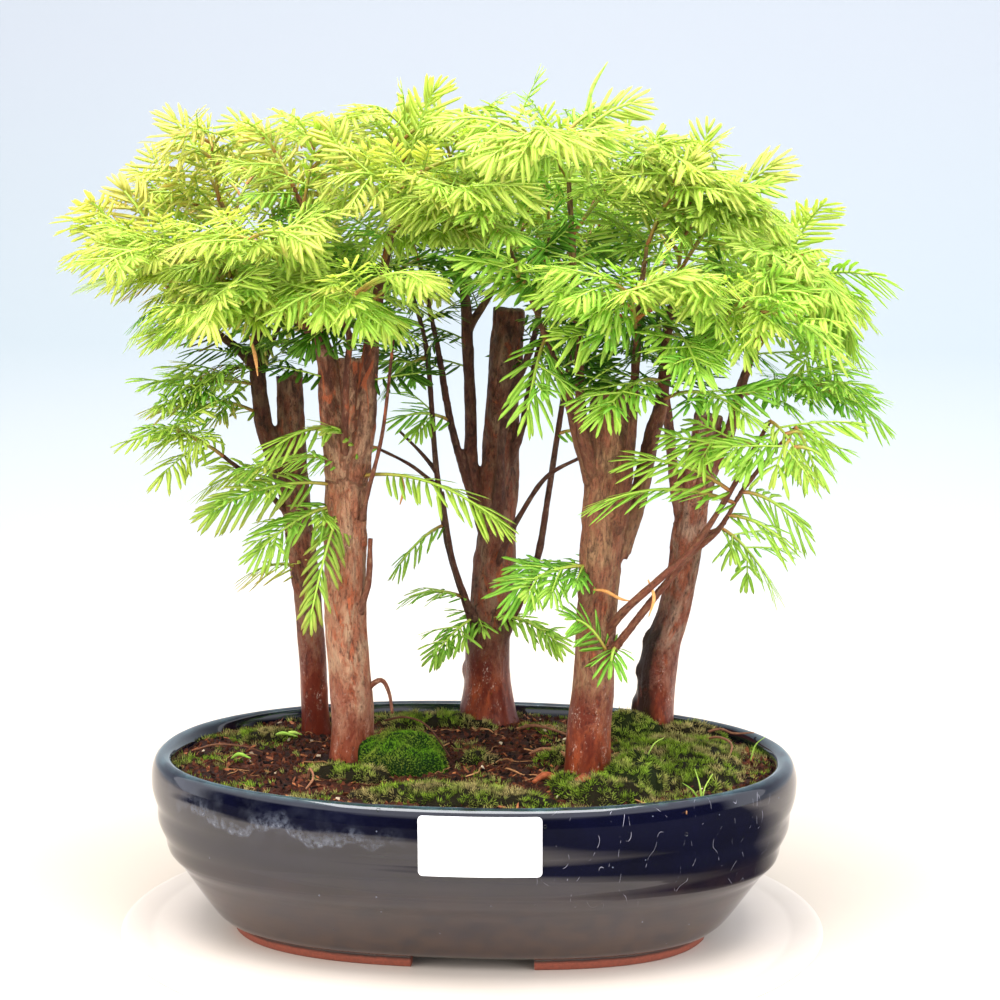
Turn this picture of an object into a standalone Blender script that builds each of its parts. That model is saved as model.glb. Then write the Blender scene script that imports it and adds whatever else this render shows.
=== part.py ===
"""A forest bonsai of five dawn redwoods in an oval glazed pot.

Sizes are real ones in millimetres, turned to metres when a mesh is made. The origin is the
centre of the pot on the surface that it stands on, +X to the right, -Y to the front, +Z up.
"""
import math
import random
from typing import NamedTuple

import bmesh
import bpy
from mathutils import Matrix, Vector
from mathutils.bvhtree import BVHTree

MM = 0.001
GAP = 0.3
PART_NAME = "dawn_redwood_forest"

# Pot: outside half-width and height of each row, up the outside and down the inside
UNDERSIDE = 5.0
FLOOR_TOP = 11.0
FOOT_INNER = 92.5
FOOT_OUTER = 101.5
POT_OUTSIDE = (
    (FOOT_OUTER, 0.0), (103.0, UNDERSIDE), (109.8, 8.5), (124.0, 27.0), (125.0, 28.6),
    (130.2, 33.5), (131.6, 39.0), (132.4, 40.6), (134.6, 45.5), (135.0, 52.2),
    (135.7, 53.8), (137.3, 59.0), (137.4, 66.5), (135.4, 72.2), (132.6, 74.0),
)
POT_INSIDE = ((129.4, 73.0), (127.4, 69.5), (118.0, 26.0), (100.0, FLOOR_TOP))
RIM_HALF_WIDTH = 137.5
RIM_HALF_DEPTH = 102.0
FOOT_HALF_DEPTH = 70.0
RIM_POWER = 2.1
FOOT_POWER = 2.6
POT_SIDES = 36
FOOT_GAP_X = 50.0
FOOT_GAP_CENTRE = 7.0
FOOT_GAP_Y = 44.0
DRAIN_X = 48.0
DRAIN_RADIUS = 7.0
SCREEN_SIZE = 28.0
SCREEN_THICK = 1.0
SCREEN_CELLS = 5
HOLE_SIDES = 12
GLAZE_ANGLE = 50.0
BARK_ANGLE = 40.0

# Soil: a low dome whose edge lies below the inner edge of the rim
SOIL_EDGE_HALF_WIDTH = 126.9
SOIL_EDGE_Z = 69.0
SOIL_RISE = 3.4
SOIL_TILT = 0.004
SOIL_RINGS = (0.8, 0.45)
SOIL_WALL = ((POT_INSIDE[3][0] - 0.4, FLOOR_TOP + GAP), (POT_INSIDE[2][0] - 0.45, POT_INSIDE[2][1]))

# Label: plain paper on the front wall
LABEL_WIDTH = 48.0
LABEL_CENTRE_X = 13.0
LABEL_LOW = (135.8, 47.4)
LABEL_HIGH = (138.2, 71.8)
LABEL_STAND_OFF = 0.45
LABEL_THICK = 0.6

# Needles: flat, longest in the middle of a spray, leaning further forward towards its tip
NEEDLE_WIDTH = 2.4
NEEDLE_PITCH = 6.2
FIRST_NEEDLE = 0.4
NEEDLE_LENGTH = 14.0
SHORTEST_NEEDLE = 0.55
NEEDLE_LEAN = 68.0
TIP_LEAN = 26.0
NEEDLE_DROOP = 0.16

# Sprays: a leafy rib at the end of each shoot, and one on each side of it
SPRAY_LENGTH = 36.0
SPRAY_ARCH = 0.12
SHOOT_ARCH = 0.10
SHOOT_RADIUS = 0.95
SPRAY_RADIUS = 0.6
TIP_RADIUS = 0.4
RIB_FLATNESS = 0.4
LONG_BARE = 12.0
SIDE_SHARES = (0.42, 0.66)
SIDE_LENGTH = (0.72, 0.95)
SIDE_ANGLE = 52.0
UPRIGHT_ANGLE = 32.0
SIDE_RISE = 4.0
SIDE_ROLL = 24.0
SIDE_BARE = 4.0
STEEP = 0.85

# Room that a spray keeps from its neighbours, and the steps by which a shoot's start moves out
SWELL = 0.25
START_STEPS = 12
START_STEP = 0.25

UP = Vector((0.0, 0.0, 1.0))
FRONT = Vector((0.0, -1.0, 0.0))


class Limb(NamedTuple):
    """A trunk, limb or twig: its sides and its points as (x, y, z, radius)."""

    sides: int
    points: tuple


class Shoot(NamedTuple):
    """A leafy shoot: the limb and how far along it starts, its tip, and its side sprays."""

    tree: str
    limb: str
    along: float
    tip: tuple
    sides: str = "LR"


TREES = {
    "left_rear": {
        "trunk": Limb(10, ((-74, 40, 52, 6.6), (-75.5, 40, 88, 6.1), (-78, 40, 128, 6.3),
                           (-84, 40, 180, 6.5), (-86, 40, 231, 6.2))),
        "main": Limb(6, ((-84, 39, 172, 4.2), (-90, 37, 189, 4.2), (-96, 34, 207, 4.0),
                         (-98, 32, 224, 3.8), (-99, 30, 240, 3.2))),
        "out": Limb(6, ((-98.5, 30.5, 234, 2.4), (-106, 23, 243, 2.1), (-114, 15, 251, 1.8),
                        (-128, 4, 265, 1.3))),
        "up": Limb(6, ((-99, 30, 238, 2.9), (-97, 29, 262, 2.3), (-100, 22, 285, 1.7),
                       (-110, 9, 306, 1.2))),
        "back": Limb(4, ((-98, 31, 230, 2.0), (-92, 38, 248, 1.6), (-84, 48, 262, 1.2))),
        "low": Limb(4, ((-83.5, 38, 166, 1.5), (-97, 30, 182, 1.2), (-112, 22, 196, 0.9))),
    },
    "left_front": {
        "trunk": Limb(10, ((-52, -7, 52, 9.9), (-51, -7, 88, 9.3), (-54, -7, 137, 9.0),
                           (-53, -7, 200, 9.0), (-52, -6, 220, 7.6), (-51, -5, 241, 7.2))),
        "left": Limb(6, ((-55, -9, 194, 5.4), (-59, -12, 216, 4.8), (-61, -13, 241, 4.0),
                         (-63, -14, 251, 3.6), (-62, -14, 268, 2.8))),
        "left_out": Limb(4, ((-62, -14, 247, 2.4), (-70, -20, 256, 2.0), (-85, -27, 268, 1.4))),
        "left_up": Limb(6, ((-62, -14, 264, 2.5), (-64, -18, 290, 1.8), (-72, -25, 312, 1.2))),
        "right": Limb(6, ((-50, -9, 194, 5.2), (-45, -10, 216, 4.6), (-43, -11, 237, 3.8),
                          (-41, -12, 258, 3.0), (-36, -15, 280, 2.2), (-30, -19, 305, 1.4))),
        "bent": Limb(4, ((-53, -12, 198, 1.7), (-52, -19.5, 213, 1.5), (-51, -21, 235, 1.4),
                         (-50, -22, 253, 1.3), (-58, -27, 262, 1.1), (-68, -31, 274, 0.9))),
        "bare": Limb(4, ((-46, -12, 174, 1.2), (-42.5, -17.5, 187, 1.0), (-36, -21, 212, 0.8),
                         (-31, -25, 250, 0.6))),
        "stub": Limb(4, ((-48, -10, 134, 1.7), (-43.5, -12, 147, 1.4), (-42.5, -12, 166, 1.0))),
    },
    "centre_rear": {
        "trunk": Limb(10, ((0, 72, 52, 12.0), (-1, 72, 88, 10.7), (-0.5, 72, 114, 9.8),
                           (3, 72, 158, 9.0), (5, 72, 209, 7.9), (8, 72, 259, 7.2))),
        "dark": Limb(6, ((-2, 70, 162, 3.6), (-8, 67, 180, 3.3), (-8.5, 67, 209, 3.0),
                         (-10, 66, 240, 2.9), (-11, 65, 262, 2.5), (-14, 60, 288, 1.8),
                         (-20, 52, 312, 1.2))),
        "dark_fork": Limb(4, ((-10, 66, 250, 1.9), (2, 63, 268, 1.4), (12, 58, 286, 1.0))),
        "slim": Limb(6, ((-3, 68, 160, 2.4), (-11, 64, 185, 2.1), (-17, 61, 209, 1.9),
                         (-24, 57, 250, 1.5), (-30, 50, 280, 1.0))),
        "outer": Limb(4, ((-5, 66, 110, 1.9), (-13, 61, 136, 1.6), (-18, 59, 155, 1.5),
                          (-23, 57, 189, 1.3), (-27, 55, 240, 1.1), (-33, 47, 268, 0.9))),
        "outer_twin": Limb(4, ((-6, 64, 118, 1.4), (-15, 56, 146, 1.2), (-20, 54, 178, 0.9))),
        "twig_low": Limb(4, ((-22.5, 57.3, 180, 1.0), (-34, 52, 190, 0.8), (-48, 46, 198, 0.6))),
        "twig_high": Limb(4, ((-23, 57, 187, 1.0), (-31, 62, 195, 0.8), (-41, 66, 204, 0.6))),
        "right": Limb(4, ((5, 69, 110, 1.9), (13, 66, 124, 1.7), (22, 64, 147, 1.6),
                          (27, 62, 177, 1.4), (31, 60, 204, 1.3), (36, 56, 235, 1.1),
                          (42, 50, 262, 0.9))),
        "front": Limb(6, ((4, 66, 164, 2.4), (5, 62, 180, 2.2), (8, 57, 213, 2.0),
                          (20, 50, 244, 1.8), (24, 46, 265, 1.5), (28, 40, 292, 1.1))),
        "side": Limb(6, ((6, 69, 182, 2.3), (14, 66, 204, 2.1), (17, 65, 218, 1.9),
                         (22, 63, 241, 1.6), (30, 61, 270, 1.1))),
        "cross": Limb(4, ((3, 66, 142, 1.7), (9, 60, 156, 1.4), (15, 55, 168, 1.2),
                          (27, 48, 186, 1.0), (43, 42, 196, 0.8))),
    },
    "right_front": {
        "trunk": Limb(10, ((50, -36, 52, 10.2), (51, -36, 88, 9.2), (53, -36, 112, 8.6),
                           (54, -36, 142, 8.4), (57.5, -36, 195, 9.3), (59.5, -36, 232, 9.0))),
        "left_low": Limb(6, ((52, -38, 196, 3.4), (46.5, -39, 212, 3.0), (42, -40, 228, 2.3),
                             (36, -42, 244, 1.8), (28, -46, 266, 1.4), (18, -50, 290, 1.0))),
        "leader": Limb(6, ((53, -40, 199, 2.9), (48.5, -43.5, 214, 2.5), (47, -44.5, 226, 2.2),
                           (46, -44, 253, 2.0), (44, -44, 275, 1.8), (42, -44, 307, 1.4),
                           (41, -44, 334, 1.0))),
        "red": Limb(6, ((63, -42, 178, 2.6), (66, -45.5, 196, 2.3), (68, -46.5, 221, 2.1),
                        (69, -46.5, 245, 1.9), (70, -48, 267, 1.6), (73, -51, 290, 1.2))),
        "dark": Limb(6, ((61, -33, 164, 4.4), (69, -29, 184, 4.0), (75, -28, 212, 3.5),
                         (79, -28, 227, 3.0), (81, -28, 255, 2.2), (86, -31, 280, 1.4))),
        "dark_out": Limb(4, ((79.5, -28, 236, 1.9), (94, -32, 251, 1.5), (110, -37, 267, 1.1))),
        "long_low": Limb(4, ((56, -38, 119, 2.2), (65, -44, 132, 1.9), (89, -48, 164, 1.6),
                             (103, -50, 178, 1.4), (113, -50, 195, 1.2), (132, -48, 219, 0.9))),
        "long_high": Limb(4, ((57, -39, 131, 1.9), (65, -47, 143, 1.7), (80, -52, 158, 1.5),
                              (93, -54, 171, 1.3), (105, -55.5, 190, 1.1),
                              (113, -56, 205, 1.0), (122, -58, 222, 0.8))),
    },
    "right_rear": {
        "trunk": Limb(10, ((74, 60, 52, 9.0), (77, 62, 100, 8.4), (82, 62, 120, 7.6),
                           (86, 62, 136, 7.1), (91, 62, 171, 7.3), (98, 62, 214, 6.4))),
        "stub": Limb(6, ((95, 61, 180, 3.4), (103, 59.5, 198, 3.1), (107, 58, 206, 2.8),
                         (111, 56, 224, 2.3), (118, 52, 246, 1.7), (125, 47, 266, 1.1))),
        "left": Limb(6, ((89, 61, 158, 3.2), (84, 59, 178, 2.9), (81.5, 58, 199, 2.5),
                         (79, 57.5, 219, 2.2), (76, 55, 245, 1.6), (74, 49, 270, 1.1))),
        "low": Limb(4, ((88, 59, 151, 1.7), (97, 56, 160, 1.2), (104, 53, 164, 0.9))),
    },
}

SHOOTS = (
    Shoot("left_rear", "out", 1.0, (-157, -6, 292)),
    Shoot("left_rear", "up", 1.0, (-112, -4, 335)),
    Shoot("left_rear", "up", 0.70, (-144, 30, 309)),
    Shoot("left_rear", "up", 0.85, (-98, 64, 326)),
    Shoot("left_rear", "low", 1.0, (-134, 10, 206)),
    Shoot("left_rear", "back", 1.0, (-78, 104, 282)),
    Shoot("left_rear", "back", 0.55, (-124, 80, 258)),
    Shoot("left_rear", "main", 0.80, (-130, 16, 223)),
    Shoot("left_front", "left_out", 1.0, (-138, -46, 284)),
    Shoot("left_front", "left_out", 0.60, (-106, -82, 256)),
    Shoot("left_front", "left_up", 1.0, (-88, -22, 335)),
    Shoot("left_front", "bent", 1.0, (-84, -94, 290)),
    Shoot("left_front", "right", 1.0, (-26, -20, 342)),
    Shoot("left_front", "right", 0.78, (-14, -80, 318)),
    Shoot("left_front", "right", 0.55, (-38, -104, 266)),
    Shoot("left_front", "trunk", 0.72, (14, -48, 180), ""),
    Shoot("left_front", "trunk", 0.70, (-104, -34, 180), "L"),
    Shoot("centre_rear", "dark", 1.0, (-8, 34, 339)),
    Shoot("centre_rear", "dark_fork", 1.0, (22, 96, 316)),
    Shoot("centre_rear", "slim", 1.0, (-56, 66, 334)),
    Shoot("centre_rear", "outer", 1.0, (-62, 106, 266)),
    Shoot("centre_rear", "front", 1.0, (28, 2, 334)),
    Shoot("centre_rear", "side", 1.0, (40, 112, 292)),
    Shoot("centre_rear", "twig_low", 1.0, (-70, 34, 194), "L"),
    Shoot("centre_rear", "trunk", 0.34, (-22, 46, 106), "L"),
    Shoot("centre_rear", "trunk", 0.33, (32, 50, 112), "R"),
    Shoot("right_front", "left_low", 1.0, (-6, -84, 310)),
    Shoot("right_front", "left_low", 0.60, (28, -71, 226), "L"),
    Shoot("right_front", "leader", 1.0, (52, -42, 342)),
    Shoot("right_front", "leader", 0.85, (24, -94, 330)),
    Shoot("right_front", "red", 1.0, (90, -62, 322)),
    Shoot("right_front", "red", 0.65, (68, -114, 274)),
    Shoot("right_front", "dark", 1.0, (114, -42, 312)),
    Shoot("right_front", "dark_out", 1.0, (140, -66, 289)),
    Shoot("right_front", "dark_out", 0.60, (122, -102, 262)),
    Shoot("right_front", "long_low", 1.0, (140, -46, 203), "R"),
    Shoot("right_front", "long_high", 1.0, (134, -74, 208)),
    Shoot("right_front", "trunk", 0.60, (24, -60, 154), "L"),
    Shoot("right_front", "trunk", 0.79, (97, -66, 175), ""),
    Shoot("right_rear", "stub", 1.0, (160, 28, 267)),
    Shoot("right_rear", "stub", 0.85, (137, 67, 300)),
    Shoot("right_rear", "stub", 0.65, (146, 110, 260)),
    Shoot("right_rear", "stub", 0.50, (162, 44, 221)),
    Shoot("right_rear", "left", 1.0, (98, 92, 318)),
    Shoot("right_rear", "low", 1.0, (120, 48, 146)),
)


class MossPatch(NamedTuple):
    """A cushion of moss on the soil: centre, radii, height and number of lobes."""

    centre: tuple
    radii: tuple
    height: float
    lobes: int


MOSSES = {
    "moss_dome": MossPatch((-28, -17), (19, 16), 12.0, 3),
    "moss_front": MossPatch((-4, -67), (42, 12), 3.5, 5),
    "moss_right": MossPatch((88, 4), (29, 51), 5.0, 4),
    "moss_trunk": MossPatch((58, -58), (21, 13), 7.0, 3),
    "moss_back": MossPatch((-24, 59), (30, 14), 4.0, 4),
}
MOSS_EDGE = 0.9
MOSS_LOBE = 0.07
MOSS_SIDES = 16
MOSS_RINGS = (0.4, 0.8)


def clear_scene():
    """Remove every object that the file opened with."""
    for obj in list(bpy.data.objects):
        bpy.data.objects.remove(obj, do_unlink=True)


def new_collection(name, hidden=False):
    """Add a collection under the scene's own."""
    collection = bpy.data.collections.new(name)
    bpy.context.scene.collection.children.link(collection)
    collection.hide_render = hidden
    return collection


def finish(name, colour, roughness, coat=0.0):
    """Make a plain Principled material."""
    material = bpy.data.materials.new(name)
    material.use_nodes = True
    shader = material.node_tree.nodes["Principled BSDF"]
    shader.inputs["Base Color"].default_value = (*colour, 1.0)
    shader.inputs["Roughness"].default_value = roughness
    shader.inputs["Metallic"].default_value = 0.0
    shader.inputs["Coat Weight"].default_value = coat
    material.diffuse_color = (*colour, 1.0)
    return material


def add_object(name, mesh, collection, material=None):
    """Put a mesh in the scene as an object, with its material."""
    obj = bpy.data.objects.new(name, mesh)
    collection.objects.link(obj)
    if material:
        mesh.materials.clear()
        mesh.materials.append(material)
    return obj


def mesh_of(bm, name):
    """Turn a bmesh in millimetres into a mesh in metres with its faces outwards."""
    bmesh.ops.recalc_face_normals(bm, faces=bm.faces)
    bmesh.ops.triangulate(bm, faces=bm.faces)
    bmesh.ops.scale(bm, vec=(MM, MM, MM), verts=bm.verts)
    mesh = bpy.data.meshes.new(name)
    bm.to_mesh(mesh)
    bm.free()
    return mesh


def evaluated_mesh(obj):
    """The object's mesh with its modifiers applied."""
    graph = bpy.context.evaluated_depsgraph_get()
    return bpy.data.meshes.new_from_object(obj.evaluated_get(graph), depsgraph=graph)


def mark_cutter(obj):
    """Leave a guide or a cutter out of the model."""
    obj.hide_render = True
    obj.display_type = "WIRE"


def boolean(obj, operation, collection):
    """Cut or join an object with everything in a collection, and apply it."""
    modifier = obj.modifiers.new(operation.title(), "BOOLEAN")
    modifier.operation = operation
    modifier.operand_type = "COLLECTION"
    modifier.collection = collection
    modifier.solver = "EXACT"
    mesh = evaluated_mesh(obj)
    obj.modifiers.remove(modifier)
    obj.data = mesh


def remove_collection(collection):
    """Remove a collection with its objects."""
    for obj in list(collection.objects):
        bpy.data.objects.remove(obj, do_unlink=True)
    bpy.data.collections.remove(collection)


def pot_half_depth(half_width):
    """The oval's half-depth where the pot is that wide."""
    share = (half_width - FOOT_OUTER) / (RIM_HALF_WIDTH - FOOT_OUTER)
    return FOOT_HALF_DEPTH + share * (RIM_HALF_DEPTH - FOOT_HALF_DEPTH)


def oval_point(half_width, angle, height):
    """A point of the pot's oval, rounder at the rim than at the foot."""
    share = (half_width - FOOT_OUTER) / (RIM_HALF_WIDTH - FOOT_OUTER)
    power = 2.0 / (FOOT_POWER + share * (RIM_POWER - FOOT_POWER))
    cosine, sine = math.cos(angle), math.sin(angle)
    x = half_width * math.copysign(abs(cosine) ** power, cosine)
    y = pot_half_depth(half_width) * math.copysign(abs(sine) ** power, sine)
    return Vector((x, y, height))


def oval_ring(half_width, height, sides=POT_SIDES):
    """The points round the pot's oval at one height."""
    return [oval_point(half_width, math.tau * step / sides, height) for step in range(sides)]


def loft(rings):
    """Join closed rings of equal length into a solid with flat ends."""
    bm = bmesh.new()
    rows = [[bm.verts.new(point) for point in ring] for ring in rings]
    for low, high in zip(rows, rows[1:]):
        for step in range(len(low)):
            after = (step + 1) % len(low)
            bm.faces.new((low[step], low[after], high[after], high[step]))
    bm.faces.new(reversed(rows[0]))
    bm.faces.new(rows[-1])
    return bm


def box_cutter(name, centre, size, collection):
    """A box that cuts, in millimetres."""
    bm = bmesh.new()
    bmesh.ops.create_cube(bm, size=1.0)
    bmesh.ops.scale(bm, vec=size, verts=bm.verts)
    bmesh.ops.translate(bm, vec=centre, verts=bm.verts)
    mark_cutter(add_object(name, mesh_of(bm, name), collection))


def build_pot(collection, material):
    """The fired pot: foot ring cut into four feet, ringed wall, rolled rim, two drain holes."""
    profile = ((FOOT_INNER, UNDERSIDE), (FOOT_INNER + 0.8, 0.0)) + POT_OUTSIDE + POT_INSIDE
    pot = add_object("pot", mesh_of(loft([oval_ring(a, z) for a, z in profile]), "pot"),
                     collection, material)
    cutters = new_collection("Pot cutters", hidden=True)
    reach = 4 * RIM_HALF_WIDTH
    box_cutter("foot_gap_x", (FOOT_GAP_CENTRE, 0, 0), (FOOT_GAP_X, reach, 2 * UNDERSIDE + 0.2), cutters)
    box_cutter("foot_gap_y", (0, 0, 0), (reach, FOOT_GAP_Y, 2 * UNDERSIDE + 0.2), cutters)
    for side in (-1, 1):
        bm = bmesh.new()
        bmesh.ops.create_cone(bm, cap_ends=True, segments=HOLE_SIDES, radius1=DRAIN_RADIUS,
                              radius2=DRAIN_RADIUS, depth=3 * FLOOR_TOP)
        bmesh.ops.translate(bm, vec=(side * DRAIN_X, 0, FLOOR_TOP), verts=bm.verts)
        mark_cutter(add_object("drain_hole", mesh_of(bm, "drain_hole"), cutters))
    boolean(pot, "DIFFERENCE", cutters)
    remove_collection(cutters)
    pot.data.shade_smooth()
    pot.data.set_sharp_from_angle(angle=math.radians(GLAZE_ANGLE))
    return pot


def build_screens(collection, material):
    """A square of plastic mesh over each drain hole."""
    for name, side in (("drain_screen_left", -1), ("drain_screen_right", 1)):
        bm = bmesh.new()
        bmesh.ops.create_grid(bm, x_segments=SCREEN_CELLS, y_segments=SCREEN_CELLS,
                              size=SCREEN_SIZE / 2)
        cell = SCREEN_SIZE / SCREEN_CELLS
        holes = [face for face in bm.faces
                 if abs(abs(face.calc_center_median().x) - cell) < 0.1
                 and abs(abs(face.calc_center_median().y) - cell) < 0.1]
        bmesh.ops.delete(bm, geom=holes, context="FACES")
        centre = (side * DRAIN_X, 0, FLOOR_TOP + GAP + SCREEN_THICK / 2)
        bmesh.ops.translate(bm, vec=centre, verts=bm.verts)
        bmesh.ops.scale(bm, vec=(MM, MM, MM), verts=bm.verts)
        mesh = bpy.data.meshes.new(name)
        bm.to_mesh(mesh)
        bm.free()
        screen = add_object(name, mesh, collection, material)
        shell = screen.modifiers.new("Thickness", "SOLIDIFY")
        shell.thickness = SCREEN_THICK * MM
        shell.offset = 0.0


def soil_height(x, y):
    """Height of the soil: a low dome, a little higher at the back."""
    reach = (x / SOIL_EDGE_HALF_WIDTH) ** 2 + (y / pot_half_depth(SOIL_EDGE_HALF_WIDTH)) ** 2
    return SOIL_EDGE_Z + SOIL_RISE * max(0.0, 1.0 - reach) * (1.0 + SOIL_TILT * y)


def tube(name, limb, collection, extra=0.0, material=None):
    """A limb as a mesh: a bevelled curve with a radius at each point and welded caps."""
    curve = bpy.data.curves.new(name, "CURVE")
    curve.dimensions = "3D"
    curve.bevel_depth = MM
    curve.bevel_resolution = (limb.sides - 4) // 2
    curve.use_fill_caps = True
    spline = curve.splines.new("POLY")
    spline.points.add(len(limb.points) - 1)
    for point, (x, y, z, radius) in zip(spline.points, limb.points):
        point.co = (x * MM, y * MM, z * MM, 1.0)
        point.radius = radius + extra
    guide = add_object(name, curve, collection)
    mesh = evaluated_mesh(guide)
    bpy.data.objects.remove(guide, do_unlink=True)
    bm = bmesh.new()
    bm.from_mesh(mesh)
    bmesh.ops.remove_doubles(bm, verts=bm.verts, dist=1e-6)
    bmesh.ops.recalc_face_normals(bm, faces=bm.faces)
    bmesh.ops.triangulate(bm, faces=bm.faces)
    bm.to_mesh(mesh)
    bm.free()
    return add_object(name, mesh, collection, material)


def trunk_cutters(collection, clearance):
    """The buried end of each trunk, a little wider, to cut its hole."""
    for name, limbs in TREES.items():
        trunk = limbs["trunk"]
        x, y, z, radius = trunk.points[0]
        points = ((x, y, z - GAP, radius), trunk.points[1])
        cutter = tube(name + "_hole", Limb(trunk.sides, points), collection, clearance)
        mark_cutter(cutter)


def build_soil(collection, material):
    """The soil that fills the pot, with a hole for each trunk and a seat for each screen."""
    rings = [oval_ring(half_width, z) for half_width, z in SOIL_WALL]
    rings.append(oval_ring(SOIL_EDGE_HALF_WIDTH, SOIL_EDGE_Z))
    for share in SOIL_RINGS:
        ring = oval_ring(SOIL_EDGE_HALF_WIDTH, 0.0)
        rings.append([Vector((p.x * share, p.y * share, soil_height(p.x * share, p.y * share)))
                      for p in ring])
    soil = add_object("soil", mesh_of(loft(rings), "soil"), collection, material)
    cutters = new_collection("Soil cutters", hidden=True)
    trunk_cutters(cutters, GAP)
    seat = SCREEN_SIZE + 2 * GAP
    for side in (-1, 1):
        box_cutter("screen_seat", (side * DRAIN_X, 0, FLOOR_TOP + GAP),
                   (seat, seat, 2 * (SCREEN_THICK + GAP)), cutters)
    boolean(soil, "DIFFERENCE", cutters)
    remove_collection(cutters)
    return soil


def build_moss(name, patch, collection, material):
    """A cushion of moss with a lobed outline, open round any trunk that it meets."""
    bm = bmesh.new()
    rings = []
    for share in MOSS_RINGS + (1.0,):
        rise = patch.height * math.sqrt(1.0 - share ** 2) + MOSS_EDGE
        ring = []
        for step in range(MOSS_SIDES):
            angle = math.tau * step / MOSS_SIDES
            lobe = share * (1.0 + MOSS_LOBE * math.sin(patch.lobes * angle + patch.height))
            x = patch.centre[0] + lobe * patch.radii[0] * math.cos(angle)
            y = patch.centre[1] + lobe * patch.radii[1] * math.sin(angle)
            ring.append(Vector((x, y, soil_height(x, y) + GAP + rise)))
        rings.append(ring)
    rings.append([Vector((p.x, p.y, soil_height(p.x, p.y) + GAP)) for p in rings[-1]])
    rows = [[bm.verts.new(point) for point in ring] for ring in rings]
    for inner, outer in zip(rows, rows[1:]):
        for step in range(MOSS_SIDES):
            after = (step + 1) % MOSS_SIDES
            bm.faces.new((inner[step], inner[after], outer[after], outer[step]))
    x, y = patch.centre
    top = bm.verts.new((x, y, soil_height(x, y) + GAP + MOSS_EDGE + patch.height))
    bottom = bm.verts.new((x, y, soil_height(x, y) + GAP))
    for step in range(MOSS_SIDES):
        after = (step + 1) % MOSS_SIDES
        bm.faces.new((rows[0][after], rows[0][step], top))
        bm.faces.new((rows[-1][step], rows[-1][after], bottom))
    moss = add_object(name, mesh_of(bm, name), collection, material)
    cutters = new_collection("Moss cutters", hidden=True)
    trunk_cutters(cutters, GAP)
    boolean(moss, "DIFFERENCE", cutters)
    remove_collection(cutters)
    return moss


def build_label(collection, material):
    """A blank paper label that bridges the rings of the front wall."""
    bm = bmesh.new()
    columns = 7
    rows = []
    for half_width, z in (LABEL_LOW, LABEL_HIGH):
        row = []
        for step in range(columns):
            x = LABEL_CENTRE_X + LABEL_WIDTH * (step / (columns - 1) - 0.5)
            width = half_width + LABEL_STAND_OFF
            power = RIM_POWER
            y = -pot_half_depth(width) * (1.0 - abs(x / width) ** power) ** (1.0 / power)
            row.append(bm.verts.new(Vector((x, y, z)) * MM))
        rows.append(row)
    for step in range(columns - 1):
        bm.faces.new((rows[0][step], rows[0][step + 1], rows[1][step + 1], rows[1][step]))
    mesh = bpy.data.meshes.new("label")
    bm.to_mesh(mesh)
    bm.free()
    label = add_object("label", mesh, collection, material)
    paper = label.modifiers.new("Thickness", "SOLIDIFY")
    paper.thickness = LABEL_THICK * MM
    paper.offset = 1.0
    return label


def build_tree(name, limbs, collection, material):
    """One tree's wood: every limb joined to the trunk."""
    guides = new_collection(name + " limbs", hidden=True)
    for limb_name, limb in limbs.items():
        if limb_name != "trunk":
            mark_cutter(tube(limb_name, limb, guides))
    wood = tube(name + "_wood", limbs["trunk"], collection, material=material)
    boolean(wood, "UNION", guides)
    remove_collection(guides)
    wood.data.shade_smooth()
    wood.data.set_sharp_from_angle(angle=math.radians(BARK_ANGLE))
    return wood


def along_limb(limb, share):
    """The point and radius part of the way along a limb."""
    places = [Vector(point[:3]) for point in limb.points]
    lengths = [(b - a).length for a, b in zip(places, places[1:])]
    target = share * sum(lengths)
    for index, length in enumerate(lengths):
        if target <= length or index == len(lengths) - 1:
            part = min(1.0, target / length)
            low, high = limb.points[index], limb.points[index + 1]
            radius = low[3] + part * (high[3] - low[3])
            return places[index].lerp(places[index + 1], part), radius
        target -= length


class Arch:
    """A line from start to end that rises in a low arch."""

    def __init__(self, start, end, arch, up=UP):
        self.start, self.end = start, end
        self.length = (end - start).length
        self.rise = up * arch * self.length

    def place(self, share):
        """The point part of the way along."""
        return self.start.lerp(self.end, share) + self.rise * 4.0 * share * (1.0 - share)

    def direction(self, share):
        """The direction there."""
        return ((self.end - self.start) + self.rise * 4.0 * (1.0 - 2.0 * share)).normalized()


class Spray(NamedTuple):
    """A rib with needles: its line, its upper side and how much of it is bare."""

    line: Arch
    upper: Vector
    bare: float
    radius: float


def needle_length(share):
    """Needles are longest in the middle of a spray and short at both ends."""
    swell = math.sin(math.pi * (0.12 + 0.78 * share))
    return NEEDLE_LENGTH * (SHORTEST_NEEDLE + (1.0 - SHORTEST_NEEDLE) * swell)


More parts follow.
